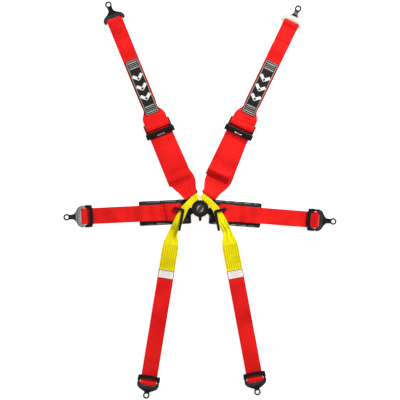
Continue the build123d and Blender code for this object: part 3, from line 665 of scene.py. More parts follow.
# %% Values and helpers for the lower shoulder webbing
BAR_R = 53.0
BAR_Z = 11.25
BAR_WRAP = 3.45
TONGUE_HALF = 20.0
FLOOR_Z = 0.8
PLEAT_HEIGHT = 3.2
PLEATS = 3
ENTRY_U = -30
# Distance from the buckle's centre, outer and inner half width, height.
UNDER_TONGUE_BAR = ((68, 21, 22, 6.6), (61, 20, 20, 7.9))
OVER_TONGUE_BAR = ((47.4, 21.5, 21, 13.8), (47.6, 22, 21.5, 15.5), (50.5, 23, 22, 16.5),
                   (54.5, 24.5, 23.5, 16.2), (59, 25.8, 25, 14.4), (65, 26, 28.5, 11.0),
                   (74, 27.5, 33.5, 5.6), (82, 29.5, 38, 2.0), (91, 32.5, 41, FLOOR_Z),
                   (108, 36, 42.5, FLOOR_Z))
LAST_TONGUE_ROW = (118, 36.6, 41.5, FLOOR_Z)
# Round the adjuster frame's cross bar and back, as (u, z).
ROUND_FRAME = ((-18, 0.8), (-10.5, 0.9), (-7.6, 2.4), (-7.8, 4.4), (-11, 5.0), (-17, 4.4), (-26, 2.8),
               (-39, 2.3))


def tongue_row(side, r, outer, inner, z):
    """A row across a tongue's line; the belt opens more on one side than on the other."""
    out = OUT[side]
    return edge_row(tongue_line[side], r, min(-out * outer, out * inner), max(-out * outer, out * inner), z)


def pleats(flat_half, height, waves):
    """Lengthwise folds that stand up where a belt is narrower than its cloth."""
    def shape(t, points, half):
        spare = np.clip(1 - half / flat_half, 0, 1)
        fold = (0.5 - 0.5 * np.cos(t * waves * math.pi + 0.6)) * height * spare
        points[:, 2] += fold
        return points
    return shape


print("tongue bar at", BAR_R)

# %% [markdown]
# ## Lay the lower shoulder belts
# From under the tongue's bar, round it, down to the floor, and round the adjuster frame's cross bar.

# %% Lower shoulder webbing
for side in SIDES:
    run = run_line[side]
    keys = [tongue_row(side, *row) for row in UNDER_TONGUE_BAR]
    keys += round_bar(tongue_line[side], BAR_R, BAR_Z, BAR_WRAP, TONGUE_HALF, -90, -180, 5)
    keys += [tongue_row(side, *row) for row in OVER_TONGUE_BAR]
    last = np.array(tongue_row(side, *LAST_TONGUE_ROW))
    entry = np.array(even_row(run, ENTRY_U, WIDE, FLOOR_Z))
    keys += [list(last * (1 - f) + entry * f) for f in (0, 0.2, 0.4, 0.6, 0.8, 1)]
    keys += rows_at(run, WIDE, ROUND_FRAME)
    shape = pleats(WIDE, PLEAT_HEIGHT, PLEATS)
    belt = ribbon(f"{side}_shoulder_lower_belt", keys, red_webbing, WIDE, shape)
    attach(belt, f"{side}_shoulder_lower")
    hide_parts(f"{side}_shoulder_lower_webbing")

# %% [markdown]
# ## Shoulder belts above the adjuster
# One long belt: its free tail hangs back over the lower belt, it runs through the adjuster under the
# lock bar, drops to the floor as it narrows, and folds round the anchor bar to be sewn on itself.
# Crosswise creases stand where the wide part is pulled into the narrow one.

# %% Values and helpers for the upper shoulder webbing
ANCHOR_Z = 4.8
ANCHOR_WRAP = 4.0
SEAM_B = 112.0
RUN_Z = 6.7
TAIL_TILT = 0.5
TAIL_FOLD_D = 80.0
TAIL_LONG = {"left": 182.0, "right": 173.0}
# The tail's waves, as (distance from its free end, z).
TAIL_SHAPE = {
    "left": ((0, 2.4), (5, 3.4), (11, 7.8), (18, 10.2), (26, 8.2), (33, 5.2), (38, 4.9), (44, 6.1),
             (51, 6.5)),
    "right": ((0, 2.5), (4, 4.0), (11, 10.6), (18, 14.4), (25, 13.4), (32, 8.8), (39, 6.7)),
}
# Up to the lever and under it, as (u, z).
UNDER_LEVER = {
    "left": ((-100, RUN_Z), (-80, 6.2), (-60, 4.4), (-45, 4.0), (-30, 4.4), (-20, 6.1)),
    "right": ((-100, RUN_Z), (-80, 6.2), (-60, 4.4), (-45, 3.9), (-36, 4.5), (-27, 7.8), (-19, 8.0)),
}
UNDER_LOCK_BAR = ((-10, RUN_Z), (6, RUN_Z))
# From the wide webbing to the narrow, as (u, half width, z).
NARROWING = ((24, WIDE, RUN_Z), (34, WIDE, 4.7), (45, WIDE - 1.5, 1.8), (54, 31.5, 0.9),
             (64, NARROW, FLOOR_Z), (90, NARROW, FLOOR_Z), (200, NARROW, FLOOR_Z))
# The end that is folded back over the anchor bar, as (distance from the bolt, z).
FOLDED_BACK = ((57, 7.7), (65, 4.3), (76, 2.25), (SEAM_B, 2.25))
CREASE = 2.5
CREASE_AT = 38
CREASE_ZONE = 11
CREASE_PITCH = 9.5
UPPER_FLAT_HALF = 27.5


def anchor_wrap(line, long):
    """Rows round the anchor's bar, from under it to over it."""
    return round_bar(line, long - ANCHOR_B, ANCHOR_Z, ANCHOR_WRAP, NARROW, -90, 90)


def upper_creases(line, long):
    """Crosswise creases near the adjuster, uneven from edge to edge, and long low waves past the label."""
    def shape(t, points, half):
        u = (points - line.origin) @ line.along
        zone = np.exp(-((u - CREASE_AT) / CREASE_ZONE) ** 2)
        points[:, 2] += zone * CREASE * swell_wave(u + 2.5 * np.sin(2.1 * t + 0.8), CREASE_PITCH)
        points[:, 2] += between(u, 240, long - 90, 30) * 1.9 * swell_wave(u, 84, 0.7)
        return points
    return shape


print("tails", TAIL_LONG)

# %% [markdown]
# ## Lay the upper shoulder belts
# The rows start at the tail's free end and finish where the belt is sewn on itself at the anchor.

# %% Upper shoulder webbing
for side in SIDES:
    run, long, tail = run_line[side], run_long[side], TAIL_LONG[side]
    keys = rows_at(run, WIDE, [(d - tail, z) for d, z in TAIL_SHAPE[side]], TAIL_TILT)
    keys += rows_at(run, WIDE, UNDER_LEVER[side] + UNDER_LOCK_BAR)
    keys += [even_row(run, u, half, z) for u, half, z in NARROWING]
    keys += rows_at(run, NARROW, ((long - 110, FLOOR_Z), (long - 62, FLOOR_Z)))
    keys += anchor_wrap(run, long)
    keys += rows_at(run, NARROW, [(long - b, z) for b, z in FOLDED_BACK])
    shape = upper_creases(run, long)
    belt = ribbon(f"{side}_shoulder_upper_belt", keys, red_webbing, UPPER_FLAT_HALF, shape)
    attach(belt, f"{side}_shoulder_upper")
    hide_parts(f"{side}_shoulder_upper_webbing")

# %% [markdown]
# ## Seams on the upper shoulder belts
# A box with a cross holds the end that is folded over the anchor bar, and a hem closes the tail.

# %% Shoulder seams
for side in SIDES:
    run, long, tail = run_line[side], run_long[side], TAIL_LONG[side]
    body = f"{side}_shoulder_upper"
    paths = box_stitch(run, long - 107, long - 84, 20, 3.05)
    sew(f"{side}_shoulder_anchor_stitches", paths, red_thread, body, "red_webbing")
    hem_d, hem_z = TAIL_SHAPE[side][2]
    hem = [straight(run, hem_d - tail + 1, -34, hem_d - tail + 1, 34, hem_z + 0.9)]
    if side == "left":
        hem.append(straight(run, TAIL_FOLD_D - tail, -36, TAIL_FOLD_D - tail, 36, RUN_Z + 0.8))
    sew(f"{side}_tail_hem_stitches", hem, red_thread, body, "red_webbing")

# %% [markdown]
# ## The turn over the lock bar
# Between the lever and the label the webbing is seen going over the adjuster's lock bar. That short
# turn is its own piece, so the belt below it is free to slide.

# %% Webbing over the lock bar
LOCK_U = 5.0
LOCK_Z = 11.0
LOCK_WRAP = 4.05
LOCK_HALF = 38.4
OFF_LOCK_BAR = ((9, 16.0), (13, 16.2), (17, 14.6), (19.5, 11.4), (20, 8.8), (18.5, 8.3))
for side in SIDES:
    run = run_line[side]
    keys = round_bar(run, LOCK_U, LOCK_Z, LOCK_WRAP, LOCK_HALF, 205, 100, 6)
    keys += rows_at(run, LOCK_HALF, OFF_LOCK_BAR)
    turn = ribbon(f"{side}_lock_bar_belt", keys, red_webbing, LOCK_HALF)
    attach(turn, f"{side}_shoulder_lower")

# %% [markdown]
# ## Lap belts
# A lap belt is one doubled length: out along its pad, through the three-bar slide, round the anchor
# bar and back on top of itself, then round the tongue's bar. It crosses the fold beyond the pad.

# %% Values and helpers for the lap webbing
INNER_BODY = {"left": "buckle", "right": "right_lap_inner"}
PAD_Z = 7.7
OUTER_Z = 3.2
LAYER_GAP = 0.05
LAP_FOLD_U = 208.0
LAP_BLEND = 9
LAP_BOW = 1.5
LAP_OUT = ((122, PAD_Z), (160, PAD_Z), (188, PAD_Z), (197, 5.3), (205, OUTER_Z), (220, OUTER_Z),
           (300, OUTER_Z), (LAP_BOLT_U - 66, OUTER_Z), (LAP_BOLT_U - 58, 2.2))
LAP_BACK = ((LAP_BOLT_U - 56, 6.2), (LAP_BOLT_U - 63, 3.4), (LAP_BOLT_U - 70, OUTER_Z), (300, OUTER_Z),
            (220, OUTER_Z), (205, OUTER_Z), (197, 5.3), (188, PAD_Z), (120, PAD_Z), (85, PAD_Z + 0.1))
# The rows on both sides of the tongue's bar, as (u, half width, z).
TO_TONGUE = ((74, 24.5, 9.6), (66, 22, 11.6), (59, TONGUE_HALF, 13.9))
FROM_TONGUE = ((60, 21, 7.9), (74, NARROW - 0.5, PAD_Z), (119, NARROW, PAD_Z))


def lap_bow(line):
    """Low waves on the pad and past it, and pleats where the belt narrows to the tongue."""
    def shape(t, points, half):
        u = (points - line.origin) @ line.along
        points[:, 2] += between(u, 214, LAP_BOLT_U - 88, 30) * LAP_BOW * swell_wave(u, 84, 1.0)
        points[:, 2] += between(u, 102, 188, 20) * 1.3 * swell_wave(u, 43, 0.4 * t)
        spare = np.clip(1 - half / NARROW, 0, 1)
        points[:, 2] += spare * 2.0 * (0.5 - 0.5 * np.cos(t * 3 * math.pi))
        return points
    return shape


print("lap belts fold at", LAP_FOLD_U)

# %% [markdown]
# ## Lay the lap belts
# The belt is laid once, in its place.

# %% Lap webbing
for side in SIDES:
    lap = lap_line[side]
    keys = rows_at(lap, NARROW, LAP_OUT) + anchor_wrap(lap, LAP_BOLT_U)
    keys += rows_at(lap, NARROW, [(u, z + WEB + LAYER_GAP) for u, z in LAP_BACK])
    keys += [even_row(lap, *row) for row in TO_TONGUE]
    keys += round_bar(lap, BAR_R, BAR_Z, BAR_WRAP, TONGUE_HALF, 90, 270)
    keys += [even_row(lap, *row) for row in FROM_TONGUE]
    belt = ribbon(f"{side}_lap_belt", keys, red_webbing, NARROW, lap_bow(lap))
    start, stop = lap.at(LAP_FOLD_U - LAP_BLEND, 0, 4) * MM, lap.at(LAP_FOLD_U + LAP_BLEND, 0, 4) * MM
    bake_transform(belt)
    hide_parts(f"{side}_lap_inner_webbing", f"{side}_lap_outer_webbing")

# %% [markdown]
# ## Open hooks
# Each hook is a coated steel rod bent twice: up from its plate, across, then along the yellow belt to
# a rounded tip. A smooth curve with a round section gives the bends, and it is then made a mesh. A
# curve's flat cap looks sawn off, so a ball closes the tip.

# %% Helpers for rods
def mesh_of_curve(name, curve):
    """A curve's mesh, with its place in its points."""
    piece = bpy.data.objects.new(name, curve)
    bpy.context.scene.collection.objects.link(piece)
    select_only(piece)
    bpy.ops.object.convert(target="MESH")
    return bpy.context.object


def rod(name, places, radius, material):
    """A bent rod with a smooth line through the places, in millimetres."""
    curve = bpy.data.curves.new(name, "CURVE")
    curve.dimensions = "3D"
    curve.bevel_depth = radius * MM
    curve.bevel_resolution = 5
    curve.use_fill_caps = True
    spline = curve.splines.new("NURBS")
    spline.points.add(len(places) - 1)
    for point, place in zip(spline.points, places):
        point.co = (*(np.array(place) * MM), 1)
    spline.order_u = 3
    spline.use_endpoint_u = True
    spline.resolution_u = 10
    piece = mesh_of_curve(name, curve)
    bpy.ops.object.shade_smooth_by_angle(angle=math.radians(60))
    paint(piece, material)
    return piece


def ball(place, radius, segments, rings):
    bpy.ops.object.select_all(action="DESELECT")
    bpy.ops.mesh.primitive_uv_sphere_add(segments=segments, ring_count=rings, radius=radius * MM,
                                         location=Vector(place) * MM)
    bpy.ops.object.transform_apply(location=True, rotation=True, scale=True)
    bpy.ops.object.shade_smooth()
    return bpy.context.object


def toward(first, second, distance):
    """The point that far from first on the way to second."""
    first, second = np.array(first, float), np.array(second, float)
    return first + (second - first) * distance / np.linalg.norm(second - first)


print("halfway", toward((0, 0), (2, 0), 1))

# %% [markdown]
# ## Make the hooks
# The rod, its tip and its base plate are one piece. Each hook's bends lie at their own places, because
# the two hooks reach over belts that cross them a little differently.

# %% Hook rods
HOOK_R = 4.2
HOOK_Z = 21.7
HOOK_FOOT_Z = 10.6
HOOK_CORNER = {"left": (-52.1, -4.0), "right": (47.1, -8.4)}
HOOK_TIP = {"left": (-63.9, -65.4), "right": (57.7, -65.1)}
HOOK_POST = {"left": (-77.5, 2.2), "right": (79.0, -0.5)}
for side in SIDES:
    post, corner, tip = (np.array(p[side]) for p in (HOOK_POST, HOOK_CORNER, HOOK_TIP))
    level = [post, toward(post, corner, 5), toward(corner, post, 6), corner, toward(corner, tip, 6),
             toward(tip, corner, 12), tip]
    places = [[*post, HOOK_FOOT_Z], [*post, 15.0]] + [[*place, HOOK_Z] for place in level]
    arm = rod(f"{side}_hook_rod", places, HOOK_R, black_steel)
    end = ball(places[-1], HOOK_R * 1.02, 16, 8)
    plate = slab(lap_line[side], 84, 0, 9.9, 34, 40, 1.5, edge=0.4)
    hook = joined(f"{side}_hook_rod", [arm, end, plate], black_steel)
    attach(hook, INNER_BODY[side])
    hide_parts(f"{side}_leg_hook")

# %% [markdown]
# ## Arched bars: slides and slot rims
# The slide's upper bar is a flat bar arched across the belt with rounded ends that curl towards the
# anchor. Each bracket's slot has a moulded rim, a crescent whose tips stand over the belt's corners.
# Both are flat bars swept along an arc, so they share one helper.

# %% Helpers for arched bars
def arched_bar(name, line, long, stations, thick, rounding, material):
    """A flat bar across a belt. A station is (distance from the bolt, v, half width, z of its middle)."""
    stations = np.array(stations, float)
    keys = []
    for number, (b, v, half, z) in enumerate(stations):
        before, after = stations[max(number - 1, 0)], stations[min(number + 1, len(stations) - 1)]
        run_u, run_v = -(after[0] - before[0]), after[1] - before[1]
        size = math.hypot(run_u, run_v)
        side_u, side_v = -run_v / size, run_u / size
        u = long - b
        keys.append([*line.at(u + side_u * half, v + side_v * half, z),
                     *line.at(u - side_u * half, v - side_v * half, z)])
    return ribbon(name, keys, material, 5.0, across=4, step=2.5, thick=thick, rounding=rounding)


def mirrored(stations):
    """The full arc from its half: the half runs from the far tip to the middle."""
    far_side = [(b, -v, half, z) for b, v, half, z in stations]
    return far_side + list(stations[-2::-1])


# %% [markdown]
# ## Rims and bars at each anchor
# Every anchor has a rim. The lap and leg belts also have a slide, and the leg's slide is shorter.

# %% Slot rims and slide bars
RIM = ((57.2, 27.4, 2.6, 8.6), (54.0, 29.6, 4.1, 9.4), (48.0, 29.2, 5.0, 10.2), (42.0, 23.4, 5.2, 10.2),
       (39.8, 14.0, 5.0, 9.0), (39.0, 0.0, 4.8, 8.2))
BAR = ((58.3, 27.4, 2.8, 7.2), (61.5, 29.6, 4.3, 7.5), (68.0, 29.8, 5.2, 7.9), (74.5, 26.0, 5.8, 8.8),
       (77.0, 15.0, 5.8, 9.6), (77.8, 0.0, 5.8, 10.0))
LEG_BAR_SHARE = 0.76
LEG_BAR = tuple((BAR[0][0] + (b - BAR[0][0]) * LEG_BAR_SHARE, v, half, z) for b, v, half, z in BAR)
RIM_LOOK = {"right_shoulder": liner_pale, "left_lap": liner_grey}
anchor_lines = {"shoulder": (run_line, run_long), "leg": (leg_line, leg_end),
                "lap": (lap_line, {side: LAP_BOLT_U for side in SIDES})}
for belt_name, (lines, longs) in anchor_lines.items():
    for side in SIDES:
        line, long = lines[side], longs[side]
        look = RIM_LOOK.get(f"{side}_{belt_name}", liner_black)
        rim = arched_bar(f"{side}_{belt_name}_slot_rim", line, long, mirrored(RIM), 3.0, 1.2, look)
        ride_in(rim, f"{side}_{belt_name}_anchor")
        if belt_name == "shoulder":
            continue
        arch = mirrored(LEG_BAR if belt_name == "leg" else BAR)
        bar = arched_bar(f"{side}_{belt_name}_slide_bar", line, long, arch, 3.6, 1.5, black_steel)
        ride_in(bar, f"{side}_{belt_name}_slide")

# %% [markdown]
# ## Details of the adjuster's lever
# A polished steel oval sits in the lever's lip, where a finger lifts it, as a painted highlight. A rounded rib
# stiffens its upper edge. The oval is a rod with a ball at each end.

# %% Lever details
OVAL_U = -18.5
OVAL_Z = 13.9
OVAL_R = 2.4
OVAL_HALF = 11.2
RIB_U = -8.4
RIB_Z = 18.1
RIB_R = 1.5
RIB_HALF = 44.5
for side in SIDES:
    run = run_line[side]
    # The steel oval stands where the lip shows a highlight, so it is a painted highlight.
    middle = [run.at(OVAL_U, v, OVAL_Z) for v in (-OVAL_HALF, 0, OVAL_HALF)]
    pieces = [rod(f"{side}_lever_highlight_oval", middle, OVAL_R, plain_steel)]
    pieces += [ball(run.at(OVAL_U, v, OVAL_Z), OVAL_R, 20, 10) for v in (-OVAL_HALF, OVAL_HALF)]
    oval = joined(f"{side}_lever_highlight_oval", pieces, plain_steel)
    ride_in(oval, f"{side}_adjuster_lever")
    across = [run.at(RIB_U, v, RIB_Z) for v in (-RIB_HALF, -15, 15, RIB_HALF)]
    rib = rod(f"{side}_lever_rib", across, RIB_R, black_plastic)
    ride_in(rib, f"{side}_adjuster_lever")

# %% [markdown]
# ## Patches over the hooks
# Each open hook's base plate is sewn to the lap belt under a patch of the same webbing. The patch
# stands over the plate and its ends come down to the belt.

# %% Hook patches
PATCH_HALF = 26.5
PATCH_SEAM_HALF = 23
# Where a patch starts and ends along the belt, and how far its outer end is skewed.
PATCH = {"left": (61.0, 106.0, 8.0), "right": (61.0, 103.5, -1.0)}
for side in SIDES:
    lap = lap_line[side]
    near, far, skew = PATCH[side]
    profile = ((near, 10.9), (near + 5, 11.9), (far - 14, 12.2), (far - 8, 12.3), (far - 2, 11.9),
               (far + 2, 11.2))
    keys = [[*lap.at(u + (u - near) / (far - near) * skew / 2, -PATCH_HALF, z),
             *lap.at(u - (u - near) / (far - near) * skew / 2, PATCH_HALF, z)] for u, z in profile]
    patch = ribbon(f"{side}_hook_patch", keys, red_webbing, PATCH_HALF, step=3.0)
    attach(patch, INNER_BODY[side])
    paths = [straight(lap, far - inset + skew / 2.4, -PATCH_SEAM_HALF,
                      far - inset - skew / 2.4, PATCH_SEAM_HALF, z) for inset, z in ((3, 12.75), (9, 13.05))]
    sew(f"{side}_hook_patch_stitches", paths, red_thread, INNER_BODY[side], "red_webbing")

# %% [markdown]
# ## Yellow leg loops
# Each leg belt ends in a yellow loop. It comes up from the sewn lap as a doubled belt, narrows with
# pleats at the hook, passes under the hook's arm and goes round the neck of the shoulder tongue. It
# is one ribbon.

# %% Values and helpers for the yellow webbing
LOOP_REACH = 35.3
LOOP_LEAN = math.radians(43.4)
LOOP_HALF = 10.2
FOLD_FROM = 26.0
KNEE_FROM = 28.8
YELLOW_LONG = 117.0
HOOK_CROSS = (64.5, -32.0)
LEG_BLEND = 11
# The first rows of a layer, as (u, height above the layer's start).
LOWER_START = ((3, 0), (14, 0), (28, 0.1))
UPPER_START = ((3, 0), (14, 0), (26, 0.3))
ROUND_NECK = ((0.6, 9.2), (0.0, 11.2), (0.6, 13.2))


def loop_lines(side):
    """The lines that a loop follows: by the tongue, under the hook, to the fold, and along the leg."""
    out = OUT[side]
    foot = np.array([out * LOOP_REACH * math.cos(LOOP_LEAN), LOOP_REACH * math.sin(LOOP_LEAN)])
    upward = np.array([-out * math.sin(LOOP_LEAN), math.cos(LOOP_LEAN)])
    fold_end = foot + FOLD_FROM * upward
    knee = foot - KNEE_FROM * upward
    cross = np.array([out * HOOK_CROSS[0], HOOK_CROSS[1]])
    leg = leg_line[side]
    return Line(fold_end, knee - fold_end), Line(knee, cross - knee), Line(cross, leg.origin[:2] - cross), leg


def corner_row(a, b, z, half):
    """A row where two lines meet, its edge direction halfway between theirs."""
    across = (a.across + b.across) / 2
    across = across / np.linalg.norm(across)
    point = b.at(0, 0, z)
    return [*(point - across * half), *(point + across * half)]


def loop_layer(lines, start_rows, first_z, bundle_z, low_z):
    """Rows of one layer from the fold end by the tongue down to the leg's own line."""
    first, second, third, leg = lines
    rows = rows_at(first, LOOP_HALF, [(u, first_z + rise) for u, rise in start_rows])
    rows += [even_row(first, 42, LOOP_HALF, (first_z + bundle_z) / 2 + 1.6)]
    rows += [corner_row(first, second, bundle_z, 10.6), even_row(second, 20, 12, bundle_z)]
    rows += [corner_row(second, third, bundle_z, 13.2), even_row(third, 14, 13.6, bundle_z - 1.0)]
    rows += [even_row(third, 28, 13.6, (bundle_z + low_z) / 2 + 0.6), even_row(third, 40, 13.6, low_z + 1.0)]
    rows += [corner_row(third, leg, low_z, 14.2), even_row(leg, 10, 17, low_z)]
    rows += [even_row(leg, 20, 20.8, low_z), even_row(leg, 31, 23.6, low_z + 0.3)]
    rows += [even_row(leg, 44, 24.8, low_z + 1.5)]
    return rows


def bunched(leg):
    """Pleats where the loop is narrow, and low waves where it lies flat."""
    def shape(t, points, half):
        spare = np.clip(1 - half / NARROW, 0, 0.6) ** 0.7
        q = (points - leg.origin) @ leg.along
        fade = np.clip((q + 52) / 40, 0, 1)
        wander = 0.9 * np.sin(q * 2 * math.pi / 46)
        points[:, 2] += fade * spare * 3.6 * (0.5 + 0.5 * np.cos(t * 2.4 * math.pi + wander))
        flat = np.clip((q - 40) / 25, 0, 1)
        points[:, 2] += flat * 0.35 * swell_wave(q, 38, 1.5 * t)
        return points
    return shape


print("loops lean", round(math.degrees(LOOP_LEAN), 1))

# %% [markdown]
# ## Lay the yellow loops
# The lower layer is laid from the seam to the tongue and the upper layer back again, as one ribbon.

# %% Yellow webbing
for side in SIDES:
    lines = loop_lines(side)
    first, leg = lines[0], lines[-1]
    lower_rows = loop_layer(lines, LOWER_START, 8.7, 16.5, 3.2)
    lower_rows += rows_at(leg, NARROW, ((58, 6.1), (85, 6.0), (YELLOW_LONG, 6.0)))
    upper_rows = loop_layer(lines, UPPER_START, 13.7, 18.1, 4.7)
    upper_rows += rows_at(leg, NARROW, ((58, 7.55), (85, 7.45), (YELLOW_LONG, 7.45)))
    keys = lower_rows[::-1] + rows_at(first, LOOP_HALF, ROUND_NECK) + upper_rows
    belt = ribbon(f"{side}_leg_loop", keys, yellow_webbing, NARROW, bunched(leg), across=20, step=4.0)
    start, stop = leg.at(-LEG_BLEND, 0, 4) * MM, leg.at(LEG_BLEND, 0, 4) * MM
    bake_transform(belt)
    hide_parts(f"{side}_leg_loop_top", f"{side}_leg_loop_lower")

# %% [markdown]
# ## Wavy seams on the yellow webbing
# The doubled part is quilted with seven wavy rows of thick thread, which follow the cloth's own waves.

# %% Wavy seams
WAVY_ROWS = 7
WAVY_FROM = 36
WAVY_PITCH = 9.5
WAVY_SIDEWAYS = 1.5
for side in SIDES:
    leg = leg_line[side]
    rows = []
    for v in np.linspace(-21, 21, WAVY_ROWS):
        q = np.linspace(WAVY_FROM, YELLOW_LONG - 4, 60)
        sideways = v * np.interp(q, [36, 46], [0.9, 1.0])
        sideways = sideways + WAVY_SIDEWAYS * np.sin(q * 2 * math.pi / WAVY_PITCH)
        z = np.interp(q, [36, 44, 58], [6.1, 7.0, 8.55]) + 0.35 * swell_wave(q, 38, 1.5 * v / 25)
        rows.append(np.array([leg.at(*place) for place in zip(q, sideways, z)]))
    sew(f"{side}_leg_loop_stitches", rows, yellow_thread, f"{side}_leg", "yellow_webbing", long=2.7, gap=0.5,
        thread=1.3)

# %% [markdown]
# ## Red leg belts
# The red leg belt starts under the yellow lap and runs through its slide to the anchor, doubled like
# the lap belts.

# %% Leg webbing
LEG_FROM = 57
LEG_FOLDED = ((56, 6.2), (63, 3.4), (70, OUTER_Z))


def leg_bow(line, long):
    """Long low waves between the label and the slide, with room for the slide to move."""
    def shape(t, points, half):
        q = (points - line.origin) @ line.along
        points[:, 2] += between(q, 150, long - 104, 30) * 1.7 * swell_wave(q, 125, 2.0)
        return points
    return shape


for side in SIDES:
    leg, long = leg_line[side], leg_end[side]
    keys = rows_at(leg, NARROW, [(u, OUTER_Z) for u in (LEG_FROM, 120, 260, long - 70)] + [(long - 58, 2.2)])
    keys += anchor_wrap(leg, long)
    keys += rows_at(leg, NARROW, [(long - b, z + WEB + LAYER_GAP) for b, z in LEG_FOLDED])
    keys += rows_at(leg, NARROW, [(u, OUTER_Z + WEB + LAYER_GAP) for u in (260, 120, LEG_FROM)])
    belt = ribbon(f"{side}_leg_belt", keys, red_webbing, NARROW, leg_bow(leg, long))
    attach(belt, f"{side}_leg")
    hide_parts(f"{side}_leg_webbing")

# %% [markdown]
# ## Satin labels on the leg belts
# A cream satin label with plain grey lines is sewn below the yellow end. It has a black edging on three
# sides, and two seams cross the belt beyond it.

# %% Care labels
CARE_U = YELLOW_LONG + 13
CARE_LONG = 25
CARE_WIDE = 47
CARE_Z = 5.35
# Printed lines, as (place along the label, sideways, width).
CARE_LINES = ((-7, -4, 28), (-3.5, 0, 36), (0, 2, 32), (3.5, -3, 30), (7, 0, 36))
for side in SIDES:
    leg, body = leg_line[side], f"{side}_leg"
    cloth = slab(leg, CARE_U, 0, CARE_Z, CARE_LONG, CARE_WIDE, 0.5)
    satin = joined(f"{side}_care_label", [cloth], cream_satin)
    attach(satin, body)
    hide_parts(f"{side}_leg_care_label")
    lines = [slab(leg, CARE_U + d, v, 5.8, 0.8, w, 0.15, edge=0.05) for d, v, w in CARE_LINES]
    ride_in(joined(f"{side}_care_label_lines", lines, grey_thread), body)
    edges = [slab(leg, CARE_U, v, 5.5, CARE_LONG, 1.1, 0.6, edge=0.2) for v in (-23.4, 23.4)]
    edges.append(slab(leg, CARE_U + 12.4, 0, 5.5, 1.0, CARE_WIDE, 0.6, edge=0.2))
    ride_in(joined(f"{side}_care_label_edging", edges, label_cloth), body)
    paths = [straight(leg, u, -23, u, 23, 5.4) for u in (166, 169)]
    sew(f"{side}_leg_seam_stitches", paths, red_thread, body, "red_webbing")

# %% [markdown]
# ## Shoulder labels
# Long black woven labels with a pale border. Each carries plain chevrons between two small barred
# boxes. The marks are thin blocks, so they stand up in the mesh as well.

# %% Values and helpers for the shoulder labels
LABEL_FROM, LABEL_LONG, LABEL_WIDE = 49.5, 181.0, 43.0
LABEL_TOP = 0.42
BORDER_INSET = 3.0
BORDER_WIDE = 1.6
BARS_INSET = 9
MARK_SINK = 0.1
MARK_THICK = 0.3
# The label's height along the belt, as (share of its length, z).
LABEL_RISE = ((0, 4.4), (0.06, 3.9), (0.16, 3.4), (0.3, 3.1), (0.5, 4.1), (0.7, 4.0), (0.9, 3.0), (1, 2.9))
label_u = np.array([LABEL_FROM + LABEL_LONG * f for f, z in LABEL_RISE])
label_z = np.array([z for f, z in LABEL_RISE]) + LABEL_TOP


def on_label(u):
    return float(np.interp(u, label_u, label_z))


def mark(run, u, v, sink, long, wide, thick, turn=0.0, edge=0.05):
    """A raised mark, sunk a little into the label."""
    return slab(run, u, v, on_label(u) - sink, long, wide, thick, turn, edge)


def border_bars(run):
    """The border in short bars, so that it follows the label up and down."""
    start, stop = LABEL_FROM + BORDER_INSET, LABEL_FROM + LABEL_LONG - BORDER_INSET
    half = LABEL_WIDE / 2 - BORDER_INSET
    steps = np.linspace(start, stop, 15)
    bars = [mark(run, (a + b) / 2, v, MARK_SINK, b - a + 0.6, BORDER_WIDE, MARK_THICK)
            for a, b in zip(steps[:-1], steps[1:]) for v in (-half, half)]
    wide = 2 * half + BORDER_WIDE
    return bars + [mark(run, u, 0, MARK_SINK, BORDER_WIDE, wide, MARK_THICK) for u in (start, stop)]


def box_bars(run):
    """Four bars at each end of the label, the outermost and innermost wider."""
    bars = []
    for end_u, way in ((LABEL_FROM + BARS_INSET, 1), (LABEL_FROM + LABEL_LONG - BARS_INSET, -1)):
        for number in range(4):
            wide = 1.4 if number % 3 else 3.0
            bars.append(mark(run, end_u + way * number * 6.0, 0, MARK_SINK, wide, 30, 0.35))
    return bars


print("label top from", label_z.min(), "to", label_z.max())

# %% [markdown]
# ## Sew the shoulder labels
# The label follows the belt up and down, and the marks take their height from it.

# %% Labels
CHEVRON_FROM = LABEL_FROM + 57
CHEVRON_PITCH = 33
CHEVRON_SIDE = 6.6
CHEVRON_TURN = math.radians(42)
for side in SIDES:
    run, body = run_line[side], f"{side}_shoulder_upper"
    keys = rows_at(run, LABEL_WIDE / 2, [(LABEL_FROM + LABEL_LONG * f, z) for f, z in LABEL_RISE])
    label = ribbon(f"{side}_shoulder_label_cloth", keys, label_cloth, LABEL_WIDE / 2, thick=0.7)
    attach(label, body)
    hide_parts(f"{side}_shoulder_label")
    ride_in(joined(f"{side}_label_border", border_bars(run), grey_thread), body)
    chevrons = [mark(run, CHEVRON_FROM + CHEVRON_PITCH * number, way * CHEVRON_SIDE, 0.15, 9.0, 22.5, 0.55,
                     -way * CHEVRON_TURN, 0.1) for number in range(3) for way in (1, -1)]
    ride_in(joined(f"{side}_label_chevrons", chevrons, white_thread), body)
    ride_in(joined(f"{side}_label_bars", box_bars(run), grey_thread), body)

# %% [markdown]
# The upper belt changes its width, so it is declared with its rounded mean width.

# %% [markdown]
# ## Lap pads
# The pads are foam in black knit. A pad starts as a block a little smaller than the frame's pad, and is
# swelled by a short cloth simulation with pressure inside, so its faces crown and its edges turn over
# softly.

# %% Helper that swells a pad
PAD_NEAR, PAD_LONG, PAD_WIDE, PAD_T = 29.0, 161.0, 77.0, 6.5
PAD_MIDDLE = PAD_NEAR + PAD_LONG / 2
PAD_CAP = 2.0
PRESSURE = 4.0
SWELL_FRAMES = 20


def read_points(mesh):
    points = np.zeros(len(mesh.vertices) * 3)
    mesh.vertices.foreach_get("co", points)
    return points.reshape(-1, 3)


